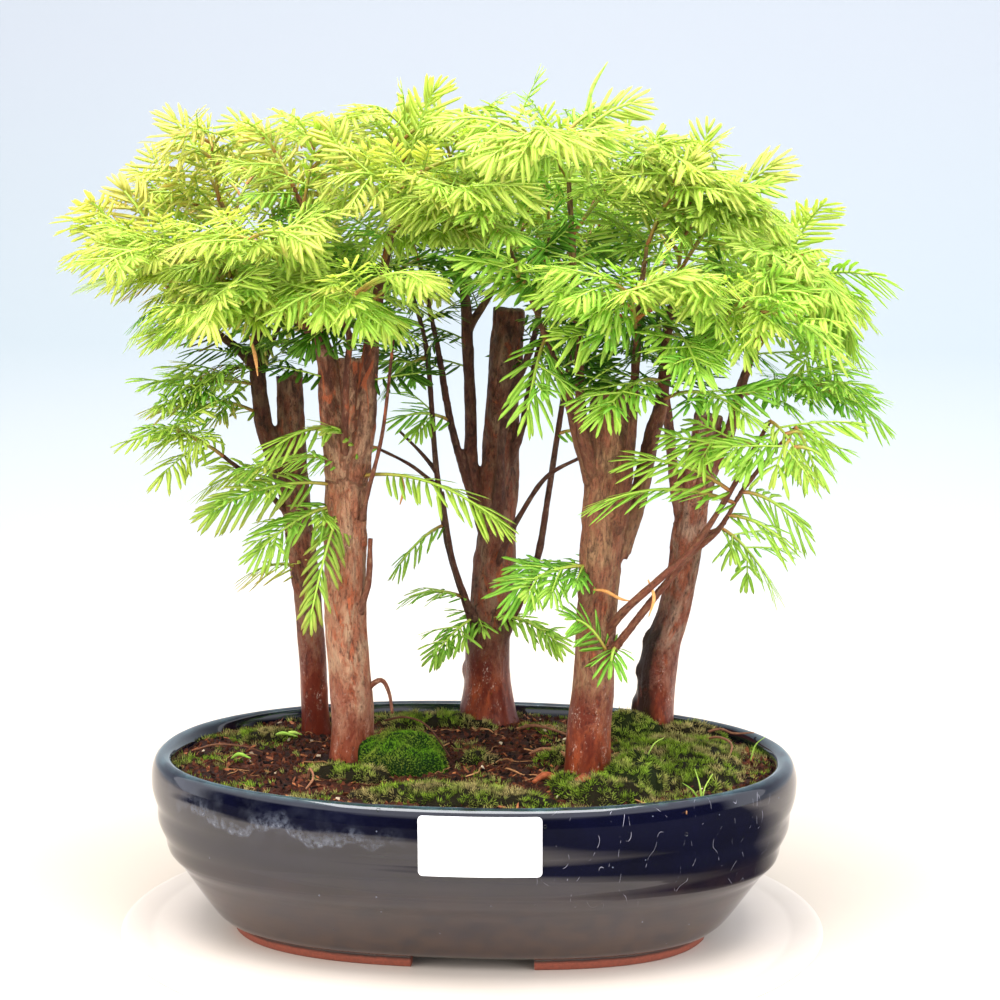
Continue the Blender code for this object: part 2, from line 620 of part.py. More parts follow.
def spray_mesh(spray, swell=0.0):
    """A three-sided rib, with a flat needle poked out of each side at every pitch."""
    line = spray.line
    leafy = line.length - spray.bare
    pairs = max(2, int(leafy / NEEDLE_PITCH))
    stations = [0.0, spray.bare / 2] if spray.bare > LONG_BARE else [0.0]
    first = len(stations)
    width = NEEDLE_WIDTH + 2 * swell
    for pair in range(pairs):
        middle = spray.bare + NEEDLE_PITCH * (pair + FIRST_NEEDLE)
        stations += [middle - width / 2, middle + width / 2]
    bm = bmesh.new()
    rings = []
    for distance in stations:
        share = distance / line.length
        forward = line.direction(share)
        side = forward.cross(spray.upper).normalized()
        top = side.cross(forward)
        radius = spray.radius + (TIP_RADIUS - spray.radius) * share + swell
        place = line.place(share)
        low = top * RIB_FLATNESS * radius
        corners = (place - side * radius - low, place + top * radius,
                   place + side * radius - low)
        rings.append([bm.verts.new(corner) for corner in corners])
    needles = []
    for index, (low, high) in enumerate(zip(rings, rings[1:])):
        bm.faces.new((low[2], low[0], high[0], high[2]))
        faces = [bm.faces.new((low[0], low[1], high[1], high[0])),
                 bm.faces.new((low[1], low[2], high[2], high[1]))]
        if index >= first and (index - first) % 2 == 0:
            pair = (index - first) // 2
            needles += [(faces[0], -1.0, pair), (faces[1], 1.0, pair)]
    bm.faces.new(rings[0])
    tip = bm.verts.new(line.place(1.0))
    for corner in range(3):
        bm.faces.new((rings[-1][corner], rings[-1][(corner + 1) % 3], tip))
    for face, hand, pair in needles:
        share = (spray.bare + NEEDLE_PITCH * (pair + FIRST_NEEDLE)) / line.length
        leafy_share = (pair + 0.5) / pairs
        forward = line.direction(share)
        side = forward.cross(spray.upper).normalized() * hand
        lean = math.radians(NEEDLE_LEAN - TIP_LEAN * leafy_share)
        reach = needle_length(leafy_share) + swell
        droop = side.cross(forward) * hand * -NEEDLE_DROOP * reach
        apex = line.place(share) + (side * math.sin(lean) + forward * math.cos(lean)) * reach
        poked = bmesh.ops.poke(bm, faces=[face])
        poked["verts"][0].co = apex + droop
    return bm


def tree_of(bm):
    """A search tree of a bmesh, to test what it crosses."""
    bmesh.ops.triangulate(bm, faces=bm.faces)
    return BVHTree.FromBMesh(bm)


def search_tree(obj):
    """A search tree of a finished object, in millimetres."""
    mesh = evaluated_mesh(obj)
    bm = bmesh.new()
    bm.from_mesh(mesh)
    bmesh.ops.scale(bm, vec=(1 / MM, 1 / MM, 1 / MM), verts=bm.verts)
    tree = tree_of(bm)
    bm.free()
    bpy.data.meshes.remove(mesh)
    return tree


def is_clear(spray, others):
    """Whether a spray, a little swollen, crosses none of the other pieces."""
    bm = spray_mesh(spray, SWELL)
    tree = tree_of(bm)
    bm.free()
    return not any(tree.overlap(other) for other in others)


def turned(vector, axis, degrees):
    """A vector turned about an axis."""
    return Matrix.Rotation(math.radians(degrees), 3, axis) @ vector


TURNS = [(0, 0)] + [(swing, lift) for reach in (7, 14, 21, 28)
                    for swing, lift in ((reach, 0), (-reach, 0), (0, reach), (0, -reach),
                                        (reach, reach), (-reach, reach))]


def main_spray(shoot, limb, others):
    """The shoot's own rib, bent clear of what is already there, or None."""
    foot, limb_radius = along_limb(limb, shoot.along)
    first = GAP + (0.0 if shoot.along == 1.0 else limb_radius)
    chord = Vector(shoot.tip) - foot
    flat = UP.cross(chord).normalized()
    for swing, lift in TURNS:
        heading = turned(turned(chord, UP, swing), flat, -lift)
        outward = heading.normalized()
        for step in range(START_STEPS):
            start = foot + outward * (first + START_STEP * step)
            line = Arch(start, foot + heading, SHOOT_ARCH)
            upper = UP if abs(outward.z) < STEEP else FRONT
            bare = max(0.0, line.length - SPRAY_LENGTH)
            spray = Spray(line, upper, bare, SHOOT_RADIUS)
            if is_clear(spray, others):
                return spray
    return None


def side_sprays(shoot, stem, others, rng):
    """The side sprays of a shoot, each bent clear or left out."""
    sprays = []
    for side_name, share in zip(shoot.sides, SIDE_SHARES):
        hand = 1.0 if side_name == "R" else -1.0
        forward = stem.line.direction(share)
        side = forward.cross(stem.upper).normalized() * hand
        start = stem.line.place(share)
        length = SPRAY_LENGTH * rng.uniform(*SIDE_LENGTH)
        roll = rng.uniform(-SIDE_ROLL, SIDE_ROLL)
        for swing, lift in TURNS:
            upright = UPRIGHT_ANGLE * max(0.0, forward.z) ** 2
            angle = math.radians(SIDE_ANGLE + upright + swing)
            heading = forward * math.cos(angle) + side * math.sin(angle)
            heading += stem.upper * math.sin(math.radians(SIDE_RISE + lift))
            heading.normalize()
            line = Arch(start, start + heading * length, SPRAY_ARCH)
            spray = Spray(line, turned(UP, heading, roll), SIDE_BARE, SPRAY_RADIUS)
            if is_clear(spray, others):
                sprays.append(spray)
                break
    return sprays


def build_shoots(collection, material, standing):
    """All leafy shoots: first every stem, then the side sprays, then one body for each."""
    rng = random.Random(7)
    counts = {}
    stems = []
    solid = [search_tree(obj) for obj in standing]
    stem_trees = []
    for shoot in SHOOTS:
        counts[shoot.tree] = counts.get(shoot.tree, 0) + 1
        name = f"{shoot.tree}_shoot_{counts[shoot.tree]:02d}"
        stem = main_spray(shoot, TREES[shoot.tree][shoot.limb], solid + stem_trees)
        if stem is None:
            print("no room for", name)
            continue
        bm = spray_mesh(stem)
        stem_trees.append(tree_of(bm))
        bm.free()
        stems.append((name, shoot, stem))
    side_trees = []
    for index, (name, shoot, stem) in enumerate(stems):
        others = solid + stem_trees[:index] + stem_trees[index + 1:] + side_trees
        sides = side_sprays(shoot, stem, others, rng)
        guides = new_collection(name + " sprays", hidden=True)
        for number, spray in enumerate(sides):
            bm = spray_mesh(spray)
            side_trees.append(tree_of(bm))
            mark_cutter(add_object(f"{name}_spray_{number}", mesh_of(bm, name), guides))
        shoot_object = add_object(name, mesh_of(spray_mesh(stem), name), collection, material)
        if sides:
            boolean(shoot_object, "UNION", guides)
            shoot_object.data.materials.clear()
            shoot_object.data.materials.append(material)
        remove_collection(guides)


def main():
    """Build every piece of the forest."""
    clear_scene()
    part = new_collection(PART_NAME)
    glaze = finish("navy_glaze", (0.012, 0.014, 0.035), 0.15, coat=0.5)
    bark = finish("reddish_bark", (0.19, 0.075, 0.035), 0.85)
    earth = finish("potting_soil", (0.045, 0.022, 0.014), 0.95)
    moss = finish("green_moss", (0.12, 0.22, 0.03), 0.95)
    leaf = finish("soft_needles", (0.30, 0.52, 0.05), 0.55)
    paper = finish("white_paper", (0.85, 0.85, 0.84), 0.6)
    plastic = finish("drain_mesh", (0.02, 0.02, 0.02), 0.6)
    pot = build_pot(part, glaze)
    build_screens(part, plastic)
    standing = [pot, build_soil(part, earth), build_label(part, paper)]
    for name, patch in MOSSES.items():
        standing.append(build_moss(name, patch, part, moss))
    for name, limbs in TREES.items():
        standing.append(build_tree(name, limbs, part, bark))
    build_shoots(part, leaf, standing)


main()
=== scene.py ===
"""A forest of five dawn redwoods in an oval glazed pot, dressed over its solids.

The solids load as a fixed frame in metres, with +X to the right, -Y to the front and +Z up.  Each
class below makes one part of the forest where its solid stands.  Its sizes are real ones, in
millimetres.  The last class makes the camera, the lights and the floor.
"""
import logging
import math
import random
from dataclasses import dataclass
from enum import Enum
from typing import Any, Callable, Mapping, NamedTuple, Sequence, Union

import bmesh
import bpy
import numpy as np
from mathutils import Matrix, Vector, noise

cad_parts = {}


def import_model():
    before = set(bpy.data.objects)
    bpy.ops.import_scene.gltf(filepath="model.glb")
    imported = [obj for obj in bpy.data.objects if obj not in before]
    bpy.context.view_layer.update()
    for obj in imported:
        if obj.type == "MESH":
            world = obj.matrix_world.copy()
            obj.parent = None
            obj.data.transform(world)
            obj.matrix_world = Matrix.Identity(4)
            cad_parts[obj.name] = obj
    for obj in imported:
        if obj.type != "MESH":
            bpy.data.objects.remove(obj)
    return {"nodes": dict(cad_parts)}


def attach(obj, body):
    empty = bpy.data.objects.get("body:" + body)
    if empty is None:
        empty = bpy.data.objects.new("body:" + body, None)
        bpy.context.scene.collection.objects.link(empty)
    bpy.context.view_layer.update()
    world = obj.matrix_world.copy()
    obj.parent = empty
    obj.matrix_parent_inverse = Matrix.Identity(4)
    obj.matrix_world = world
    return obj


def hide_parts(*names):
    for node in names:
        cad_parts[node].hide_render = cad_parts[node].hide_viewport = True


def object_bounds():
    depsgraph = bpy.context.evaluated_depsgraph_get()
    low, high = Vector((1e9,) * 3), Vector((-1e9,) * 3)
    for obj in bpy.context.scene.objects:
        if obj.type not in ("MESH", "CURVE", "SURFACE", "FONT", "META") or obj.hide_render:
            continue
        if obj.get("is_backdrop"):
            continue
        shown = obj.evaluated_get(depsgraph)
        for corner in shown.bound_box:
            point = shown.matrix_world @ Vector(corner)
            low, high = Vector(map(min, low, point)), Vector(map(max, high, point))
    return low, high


log = logging.getLogger("forest")

MM = 0.001
UP = Vector((0.0, 0.0, 1.0))
FRONT = Vector((0.0, -1.0, 0.0))
Mesh = bpy.types.Mesh
NodeTree = bpy.types.NodeTree
Material = bpy.types.Material
Socket = bpy.types.NodeSocket
Source = Union[Socket, bpy.types.Node]
Colour = tuple[float, float, float, float]
Point = tuple[float, float, float]
Face = tuple[int, ...]


class Shoot(NamedTuple):
    """A leafy shoot: the limb and how far along it starts, its tip, its side sprays and its size."""

    limb: str
    along: float
    tip: tuple
    sides: str = "LR"
    size: float = 1.0


class MossPatch(NamedTuple):
    """A cushion of moss on the soil: centre, radii, height, number of lobes and kind of moss."""

    centre: tuple
    radii: tuple
    height: float
    lobes: int
    kind: str = "star"


# Each tree's trunk, limbs and twigs, as rows of x, y, z and radius
TREES = {
    "left_rear": {
        "trunk": ((-74, 40, 52, 6.6), (-75.5, 40, 88, 6.1), (-78, 40, 128, 6.3), (-84, 40, 180, 6.5),
            (-86, 40, 231, 6.2)),
        "main": ((-84, 39, 172, 4.2), (-90, 37, 189, 4.2), (-96, 34, 207, 4.0), (-98, 32, 224, 3.8),
            (-99, 30, 240, 3.2)),
        "out": ((-98.5, 30.5, 234, 2.4), (-106, 23, 243, 2.1), (-114, 15, 251, 1.8),
            (-128, 4, 265, 1.3)),
        "up": ((-99, 30, 238, 2.9), (-97, 29, 262, 2.3), (-100, 22, 285, 1.7), (-110, 9, 306, 1.2)),
        "back": ((-98, 31, 230, 2.0), (-92, 38, 248, 1.6), (-84, 48, 262, 1.2)),
        "low": ((-83.5, 38, 166, 1.5), (-97, 30, 182, 1.2), (-112, 22, 196, 0.9)),
    },
    "left_front": {
        "trunk": ((-52, -7, 52, 9.9), (-51, -7, 88, 9.3), (-54, -7, 137, 9.0), (-53, -7, 200, 9.0),
            (-52, -6, 220, 7.6), (-51, -5, 241, 7.2)),
        "left": ((-55, -9, 194, 5.4), (-59, -12, 216, 4.8), (-61, -13, 241, 4.0), (-63, -14, 251, 3.6),
            (-62, -14, 268, 2.8)),
        "left_out": ((-62, -14, 247, 2.4), (-70, -20, 256, 2.0), (-85, -27, 268, 1.4)),
        "left_up": ((-62, -14, 264, 2.5), (-64, -18, 290, 1.8), (-72, -25, 312, 1.2)),
        "right": ((-50, -9, 194, 5.2), (-45, -10, 216, 4.6), (-43, -11, 237, 3.8), (-41, -12, 258, 3.0),
            (-36, -15, 280, 2.2), (-30, -19, 305, 1.4)),
        "bent": ((-53, -12, 198, 1.7), (-52, -19.5, 213, 1.5), (-51, -21, 235, 1.4),
            (-50, -22, 253, 1.3), (-58, -27, 262, 1.1), (-68, -31, 274, 0.9)),
        "bare": ((-46, -12, 174, 1.2), (-42.5, -17.5, 187, 1.0), (-36, -21, 212, 0.8),
            (-31, -25, 250, 0.6)),
        "stub": ((-48, -10, 134, 1.7), (-43.5, -12, 147, 1.4), (-42.5, -12, 166, 1.0)),
        "rootlet": ((-45, -8, 101, 1.3), (-38.5, -9, 105, 1.0), (-35, -10, 100, 0.8),
            (-33.5, -10, 91, 0.6)),
    },
    "centre_rear": {
        "trunk": ((0, 72, 52, 12.0), (-1, 72, 88, 10.7), (-0.5, 72, 114, 9.8), (3, 72, 158, 9.0),
            (5, 72, 209, 7.9), (8, 72, 259, 7.2)),
        "dark": ((-2, 70, 162, 3.6), (-8, 67, 180, 3.3), (-8.5, 67, 209, 3.0), (-10, 66, 240, 2.9),
            (-11, 65, 262, 2.5), (-14, 60, 288, 1.8), (-20, 52, 312, 1.2)),
        "dark_fork": ((-10, 66, 250, 1.9), (2, 63, 268, 1.4), (12, 58, 286, 1.0)),
        "slim": ((-3, 68, 160, 2.4), (-11, 64, 185, 2.1), (-17, 61, 209, 1.9), (-24, 57, 250, 1.5),
            (-30, 50, 280, 1.0)),
        "outer": ((-5, 66, 110, 1.9), (-13, 61, 136, 1.6), (-18, 59, 155, 1.5), (-23, 57, 189, 1.3),
            (-27, 55, 240, 1.1), (-33, 47, 268, 0.9)),
        "outer_twin": ((-6, 64, 118, 1.4), (-15, 56, 146, 1.2), (-20, 54, 178, 0.9)),
        "twig_low": ((-22.5, 57.3, 180, 1.0), (-34, 52, 190, 0.8), (-48, 46, 198, 0.6)),
        "twig_high": ((-23, 57, 187, 1.0), (-31, 62, 195, 0.8), (-41, 66, 204, 0.6)),
        "right": ((5, 69, 110, 1.9), (13, 66, 124, 1.7), (22, 64, 147, 1.6), (27, 62, 177, 1.4),
            (31, 60, 204, 1.3), (36, 56, 235, 1.1), (42, 50, 262, 0.9)),
        "front": ((4, 66, 164, 2.4), (5, 62, 180, 2.2), (8, 57, 213, 2.0), (20, 50, 244, 1.8),
            (24, 46, 265, 1.5), (28, 40, 292, 1.1)),
        "side": ((6, 69, 182, 2.3), (14, 66, 204, 2.1), (17, 65, 218, 1.9), (22, 63, 241, 1.6),
            (30, 61, 270, 1.1)),
        "cross": ((3, 66, 142, 1.7), (9, 60, 156, 1.4), (15, 55, 168, 1.2), (27, 48, 186, 1.0),
            (43, 42, 196, 0.8)),
    },
    "right_front": {
        "trunk": ((50, -36, 52, 10.2), (51, -36, 88, 9.2), (53, -36, 112, 8.6), (54, -36, 142, 8.4),
            (57.5, -36, 195, 9.3), (59.5, -36, 232, 9.0)),
        "left_low": ((52, -38, 196, 3.4), (46.5, -39, 212, 3.0), (42, -40, 228, 2.3),
            (36, -42, 244, 1.8), (28, -46, 266, 1.4), (18, -50, 290, 1.0)),
        "leader": ((53, -40, 199, 2.9), (48.5, -43.5, 214, 2.5), (47, -44.5, 226, 2.2),
            (46, -44, 253, 2.0), (44, -44, 275, 1.8), (42, -44, 307, 1.4), (41, -44, 334, 1.0)),
        "red": ((63, -42, 178, 2.6), (66, -45.5, 196, 2.3), (68, -46.5, 221, 2.1),
            (69, -46.5, 245, 1.9), (70, -48, 267, 1.6), (73, -51, 290, 1.2)),
        "dark": ((61, -33, 164, 4.4), (69, -29, 184, 4.0), (75, -28, 212, 3.5), (79, -28, 227, 3.0),
            (81, -28, 255, 2.2), (86, -31, 280, 1.4)),
        "dark_out": ((79.5, -28, 236, 1.9), (94, -32, 251, 1.5), (110, -37, 267, 1.1)),
        "long_low": ((56, -38, 119, 2.2), (65, -44, 132, 1.9), (89, -48, 164, 1.6),
            (103, -50, 178, 1.4), (113, -50, 195, 1.2), (132, -48, 219, 0.9)),
        "long_high": ((57, -39, 131, 1.9), (65, -47, 143, 1.7), (80, -52, 158, 1.5),
            (93, -54, 171, 1.3), (105, -55.5, 190, 1.1), (113, -56, 205, 1.0), (122, -58, 222, 0.8)),
    },
    "right_rear": {
        "trunk": ((74, 60, 52, 9.0), (77, 62, 100, 8.4), (82, 62, 120, 7.6), (86, 62, 136, 7.1),
            (91, 62, 171, 7.3), (98, 62, 214, 6.4)),
        "stub": ((95, 61, 180, 3.4), (103, 59.5, 198, 3.1), (107, 58, 206, 2.8), (111, 56, 224, 2.3),
            (118, 52, 246, 1.7), (125, 47, 266, 1.1)),
        "left": ((89, 61, 158, 3.2), (84, 59, 178, 2.9), (81.5, 58, 199, 2.5), (79, 57.5, 219, 2.2),
            (76, 55, 245, 1.6), (74, 49, 270, 1.1)),
        "low": ((88, 59, 151, 1.7), (97, 56, 160, 1.2), (104, 53, 164, 0.9)),
    },
}

# Each tree's leafy shoots, and the small ones that its solids leave out
SHOOTS = {
    "left_rear": (
        ("out", 1.0, (-157, -6, 292)), ("up", 1.0, (-112, -4, 335)), ("up", 0.70, (-144, 30, 309)),
        ("up", 0.85, (-98, 64, 326)), ("low", 1.0, (-134, 10, 206)), ("back", 1.0, (-78, 104, 282)),
        ("back", 0.55, (-124, 80, 258)), ("main", 0.80, (-130, 16, 223)),
        # Left out of the solids
        ("out", 0.50, (-137, 4, 250), "R"), ("up", 0.50, (-68, 4, 314)), ("up", 0.30, (-136, -22, 276)),
        ("main", 0.92, (-118, 12, 228), "L"), ("main", 0.62, (-136, 8, 219), "R"),
        ("trunk", 0.75, (-116, 12, 184), "L"), ("trunk", 0.52, (-98, 20, 146), ""),
        ("up", 0.95, (-128, 8, 339), ""), ("out", 0.90, (-150, 6, 310), ""),
    ),
    "left_front": (
        ("left_out", 1.0, (-138, -46, 284)), ("left_out", 0.60, (-106, -82, 256)),
        ("left_up", 1.0, (-88, -22, 335)), ("bent", 1.0, (-84, -94, 290)),
        ("right", 1.0, (-26, -20, 342)), ("right", 0.78, (-14, -80, 318)),
        ("right", 0.55, (-38, -104, 266)), ("trunk", 0.72, (14, -48, 180), ""),
        ("trunk", 0.70, (-104, -34, 180), "L"),
        # Left out of the solids
        ("left_up", 0.80, (-58, -40, 336)), ("left", 0.95, (-96, -64, 262)),
        ("right", 0.90, (4, -46, 296)), ("left", 0.25, (-79, -30, 206), ""),
        ("left", 0.05, (-88, -30, 197), "R"), ("right", 0.08, (-57, -24, 214), ""),
        ("trunk", 0.68, (-64, -34, 137), "", 0.72), ("trunk", 0.66, (-86, -28, 163), "L"),
        ("left_out", 0.95, (-152, -30, 274), ""), ("right", 0.97, (-14, -30, 350), ""),
    ),
    "centre_rear": (
        ("dark", 1.0, (-8, 34, 339)), ("dark_fork", 1.0, (22, 96, 316)), ("slim", 1.0, (-56, 66, 334)),
        ("outer", 1.0, (-62, 106, 266)), ("front", 1.0, (28, 2, 334)), ("side", 1.0, (40, 112, 292)),
        ("twig_low", 1.0, (-70, 34, 194), "L"), ("trunk", 0.34, (-22, 46, 106), "L", 0.72),
        ("trunk", 0.33, (32, 50, 112), "R", 0.72),
        # Left out of the solids
        ("dark", 0.85, (-38, 20, 318)), ("side", 0.80, (62, 70, 312)), ("front", 0.90, (6, 14, 300)),
        ("outer", 0.80, (-42, 44, 228), "L"), ("slim", 0.42, (-36, 50, 212), "L"),
        ("outer", 0.35, (-38, 48, 146), "", 0.8), ("outer", 0.12, (-34, 48, 131), "L", 0.7),
        ("right", 0.62, (52, 52, 204), ""),
    ),
    "right_front": (
        ("left_low", 1.0, (-6, -84, 310)), ("left_low", 0.60, (28, -71, 226), "L"),
        ("leader", 1.0, (52, -42, 342)), ("leader", 0.85, (24, -94, 330)), ("red", 1.0, (90, -62, 322)),
        ("red", 0.65, (68, -114, 274)), ("dark", 1.0, (114, -42, 312)),
        ("dark_out", 1.0, (140, -66, 289)), ("dark_out", 0.60, (122, -102, 262)),
        ("long_low", 1.0, (140, -46, 203), "R"), ("long_high", 1.0, (134, -74, 208)),
        ("trunk", 0.60, (24, -60, 154), "L", 1.15), ("long_low", 0.70, (58, -66, 190), ""),
        # Left out of the solids
        ("leader", 0.70, (76, -46, 326)), ("leader", 0.45, (16, -66, 276)),
        ("dark", 0.75, (94, -98, 244), "L"), ("dark", 0.62, (58, -84, 226), "L"),
        ("dark", 0.55, (112, -78, 226), "R"), ("dark", 0.92, (92, -50, 320)),
        ("long_low", 0.06, (47, -60, 142), ""), ("long_low", 0.10, (61, -58, 125), ""),
        ("long_high", 0.72, (70, -60, 206), ""), ("long_high", 0.90, (90, -66, 211), "L"),
        ("long_low", 0.74, (136, -34, 177), ""), ("long_low", 0.66, (127, -52, 175), ""),
        ("dark", 1.0, (121, -34, 321), ""), ("red", 1.0, (97, -50, 330), ""),
        ("leader", 0.95, (66, -48, 345), ""),
    ),
    "right_rear": (
        ("stub", 1.0, (160, 28, 267)), ("stub", 0.85, (137, 67, 300)), ("stub", 0.65, (146, 110, 260)),
        ("stub", 0.50, (162, 44, 221)), ("left", 1.0, (98, 92, 318)), ("low", 1.0, (126, 46, 141), "L"),
        # Left out of the solids
        ("stub", 0.75, (128, 18, 292)), ("stub", 0.95, (143, 14, 305), ""),
        ("stub", 1.0, (167, 8, 276), ""),
    ),
}

MOSSES = {
    "moss_dome": MossPatch((-28, -17), (19, 16), 12.0, 3, "velvet"),
    "moss_front": MossPatch((-4, -67), (42, 12), 3.5, 5),
    "moss_right": MossPatch((88, 4), (29, 51), 5.0, 4),
    "moss_trunk": MossPatch((58, -58), (21, 13), 7.0, 3),
    "moss_back": MossPatch((-24, 59), (30, 14), 4.0, 4),
}

# Patches that the solids leave out
CLUMPS = (
    MossPatch((-26, -27), (17, 13), 9.0, 3, "velvet"),
    MossPatch((-55, -39), (11, 8), 3.0, 4),
    MossPatch((-42, -43), (14, 7), 4.5, 5),
    MossPatch((3, -14), (9, 6), 3.0, 3),
    MossPatch((37, -6), (8, 10), 4.0, 3),
    MossPatch((44, -47), (8, 7), 4.5, 3),
    MossPatch((70, -38), (13, 15), 10.5, 3, "fresh"),
    MossPatch((64, 46), (17, 13), 9.0, 3, "fresh"),
    MossPatch((92, 48), (17, 10), 7.0, 4),
    MossPatch((-96, 28), (15, 10), 2.5, 4),
    MossPatch((-62, 62), (16, 8), 3.0, 3),
)


class Scrap(NamedTuple):
    """Single small things of one kind: their two shades, and their lines as (x, y, z, radius)."""

    name: str
    dark: str
    light: str
    lines: tuple


SCRAPS = (
    Scrap("dry curled needles", "#9a5a26", "#e0a869", (
        ((53, -47, 152, 0.4), (58, -50, 152, 0.7), (64, -50, 149, 0.6), (68, -49, 148, 0.2)),
        ((75, -50, 157, 0.3), (77.5, -51, 150, 0.7), (75.5, -50, 142, 0.2)),
        ((60, -58, 264, 0.3), (68, -64, 262, 0.8), (78, -66, 266, 0.2)),
        ((-88, -38, 252, 0.3), (-85, -42, 244, 0.8), (-84, -42, 236, 0.2)),
        ((-29, -14, 193, 0.3), (-28, -16, 187, 0.7), (-29.5, -16, 181, 0.2)))),
    Scrap("green blades", "#6f9430", "#b4cf60", (
        ((98, -60, 69, 0.3), (97, -61, 76, 0.35), (95, -62, 83, 0.12)),
        ((98, -60, 69, 0.3), (99, -60, 75, 0.3), (102, -61, 81, 0.12)),
        ((97, -59, 69, 0.3), (94, -60, 74, 0.3), (90, -61, 77, 0.12)),
        ((75, -30, 80, 0.2), (78, -32, 86, 0.3), (82, -34, 89, 0.12)),
        ((118, 8, 70, 0.3), (120, 8, 77, 0.3), (124, 7, 81, 0.12)),
        ((-92, 24, 71, 0.3), (-87, 23, 73.5, 0.9), (-80, 22, 72.5, 0.3)),
        ((-88, 26, 71, 0.3), (-83, 25, 73.5, 0.8), (-79, 27, 72, 0.3)),
        ((-101, -20, 72, 0.3), (-97, -22, 74.5, 0.9), (-92, -23, 73, 0.3)),
        ((48, -44, 342, 0.5), (51, -45, 352, 0.8), (56.5, -46, 361, 0.2)))),
    Scrap("surface roots", "#3a1f14", "#93654a", (
        ((92, 46, 70, 0.7), (104, 44, 75.5, 0.6), (111, 43, 74, 0.5), (120, 42, 74.8, 0.3)),
        ((96, 30, 73, 0.6), (104, 24, 76.5, 0.6), (110, 12, 76, 0.5), (108, 2, 71, 0.4)),
        ((-38, -2, 86, 0.5), (-28, -8, 89, 0.5), (-18, -12, 86, 0.4), (-8, -14, 73, 0.4)),
        ((22, 6, 70, 0.8), (30, 0, 75, 0.8), (40, -12, 75.5, 1.0), (48, -28, 72, 1.2)),
        ((12, 52, 70, 1.0), (22, 44, 75, 0.8), (34, 38, 74, 0.6), (44, 36, 70, 0.5)),
        ((-120, -2, 71, 0.5), (-110, -8, 75, 0.5), (-98, -8, 74.5, 0.4), (-90, -4, 71, 0.3)),
        ((-64, -44, 70, 0.6), (-62, -50, 76, 0.5), (-60, -54, 73, 0.5), (-62, -60, 70, 0.4)))),
    Scrap("peeled roots", "#5c2716", "#96502f", (
        ((48, -49, 71, 2.6), (50, -55, 75, 3.2), (53, -60, 75, 2.8), (57, -65, 71, 1.4)),
        ((40, -38, 70, 1.8), (34, -42, 74, 1.6), (29, -44, 71, 1.0)))),
)


class Hold(Enum):
    """What carries a rib of needles."""

    STEM = 1
    FROND = 2


def shade(code: str) -> Colour:
    """Turn an sRGB hex colour into the linear one that a shader takes.

    Args:
        code: the colour as # and six hex digits.
    Returns:
        Linear red, green, blue and an alpha of 1.
    """
    parts = [int(code[at:at + 2], 16) / 255.0 for at in (1, 3, 5)]
    red, green, blue = (p / 12.92 if p <= 0.04045 else ((p + 0.055) / 1.055) ** 2.4 for p in parts)
    return red, green, blue, 1.0


def feed(tree: NodeTree, target: bpy.types.Node, links: Mapping[Union[str, int], Any]) -> None:
    """Give a node's inputs what they take.

    Args:
        tree: the node's tree.
        target: the node.
        links: what each input takes: the socket or the node that feeds it, or a plain value.
    """
    for key, source in links.items():
        if isinstance(source, bpy.types.Node):
            source = source.outputs[0]
        if isinstance(source, Socket):
            tree.links.new(source, target.inputs[key])
        else:
            target.inputs[key].default_value = source


def node(tree: NodeTree, kind: str, links: Mapping[Union[str, int], Any] = {},
         stops: Sequence[tuple[float, str]] = (), **settings: Any) -> bpy.types.Node:
    """Add a node to a tree, with its settings and links.

    Args:
        tree: the material's or the modifier's node tree.
        kind: the node's type.
        links: what each input takes.
        stops: the places and colours of a colour ramp.
        settings: the node's own properties.
    Returns:
        The new node.
    """
    made = tree.nodes.new(kind)
    for name, value in settings.items():
        setattr(made, name, value)
    feed(tree, made, links)
    for _ in stops[2:]:
        made.color_ramp.elements.new(0.5)
    for at, (place, code) in enumerate(stops):
        stop = made.color_ramp.elements[at]
        stop.position, stop.color = place, shade(code)
    return made


class Band(NamedTuple):
    """Where a mark shows: it fades in as a measure goes from start to full, up to most."""

    measure: Source
    start: float
    full: float
    most: float = 1.0


def shown(tree: NodeTree, *bands: Band) -> Source:
    """Find how strongly a mark shows where all its bands meet.

    Args:
        tree: the material's node tree.
        bands: where it shows.
    Returns:
        The product of the bands, from 0 to 1.
    """
    whole = None
    for band in bands:
        share = node(tree, "ShaderNodeMapRange", {
            "Value": band.measure, "From Min": band.start, "From Max": band.full,
            "To Max": band.most})
        if whole is not None:
            share = node(tree, "ShaderNodeMath", {0: whole, 1: share}, operation="MULTIPLY")
        whole = share
    return whole


def painted(tree: NodeTree, colour: Any, marks: Sequence[tuple[Any, Any]]) -> Socket:
    """Lay marks over a colour, one after the other.

    Args:
        tree: the material's node tree.
        colour: the hex colour under the marks, or the socket that gives it.
        marks: how strongly each shows, with its hex colour or the socket that gives it.
    Returns:
        The colour with its marks.
    """
    for share, mark in marks:
        under, over = (shade(code) if isinstance(code, str) else code for code in (colour, mark))
        colour = node(tree, "ShaderNodeMix", {0: share, 6: under, 7: over}, data_type="RGBA").outputs[2]
    return colour


def bare_finish(name: str) -> tuple[Material, NodeTree, bpy.types.Node]:
    """Start a material.

    Args:
        name: what the real material is.
    Returns:
        The material, its node tree and its main shader.
    """
    material = bpy.data.materials.new(name)
    material.use_nodes = True
    return material, material.node_tree, material.node_tree.nodes["Principled BSDF"]


def in_scene(data: bpy.types.ID, name: str = "") -> bpy.types.Object:
    """Put a mesh, a lamp or a camera in the scene, under its own name or another.

    Args:
        data: what the object holds.
        name: the object's name, where it isn't the data's own.
    Returns:
        The object.
    """
    made = bpy.data.objects.new(name or data.name, data)
    bpy.context.scene.collection.objects.link(made)
    return made


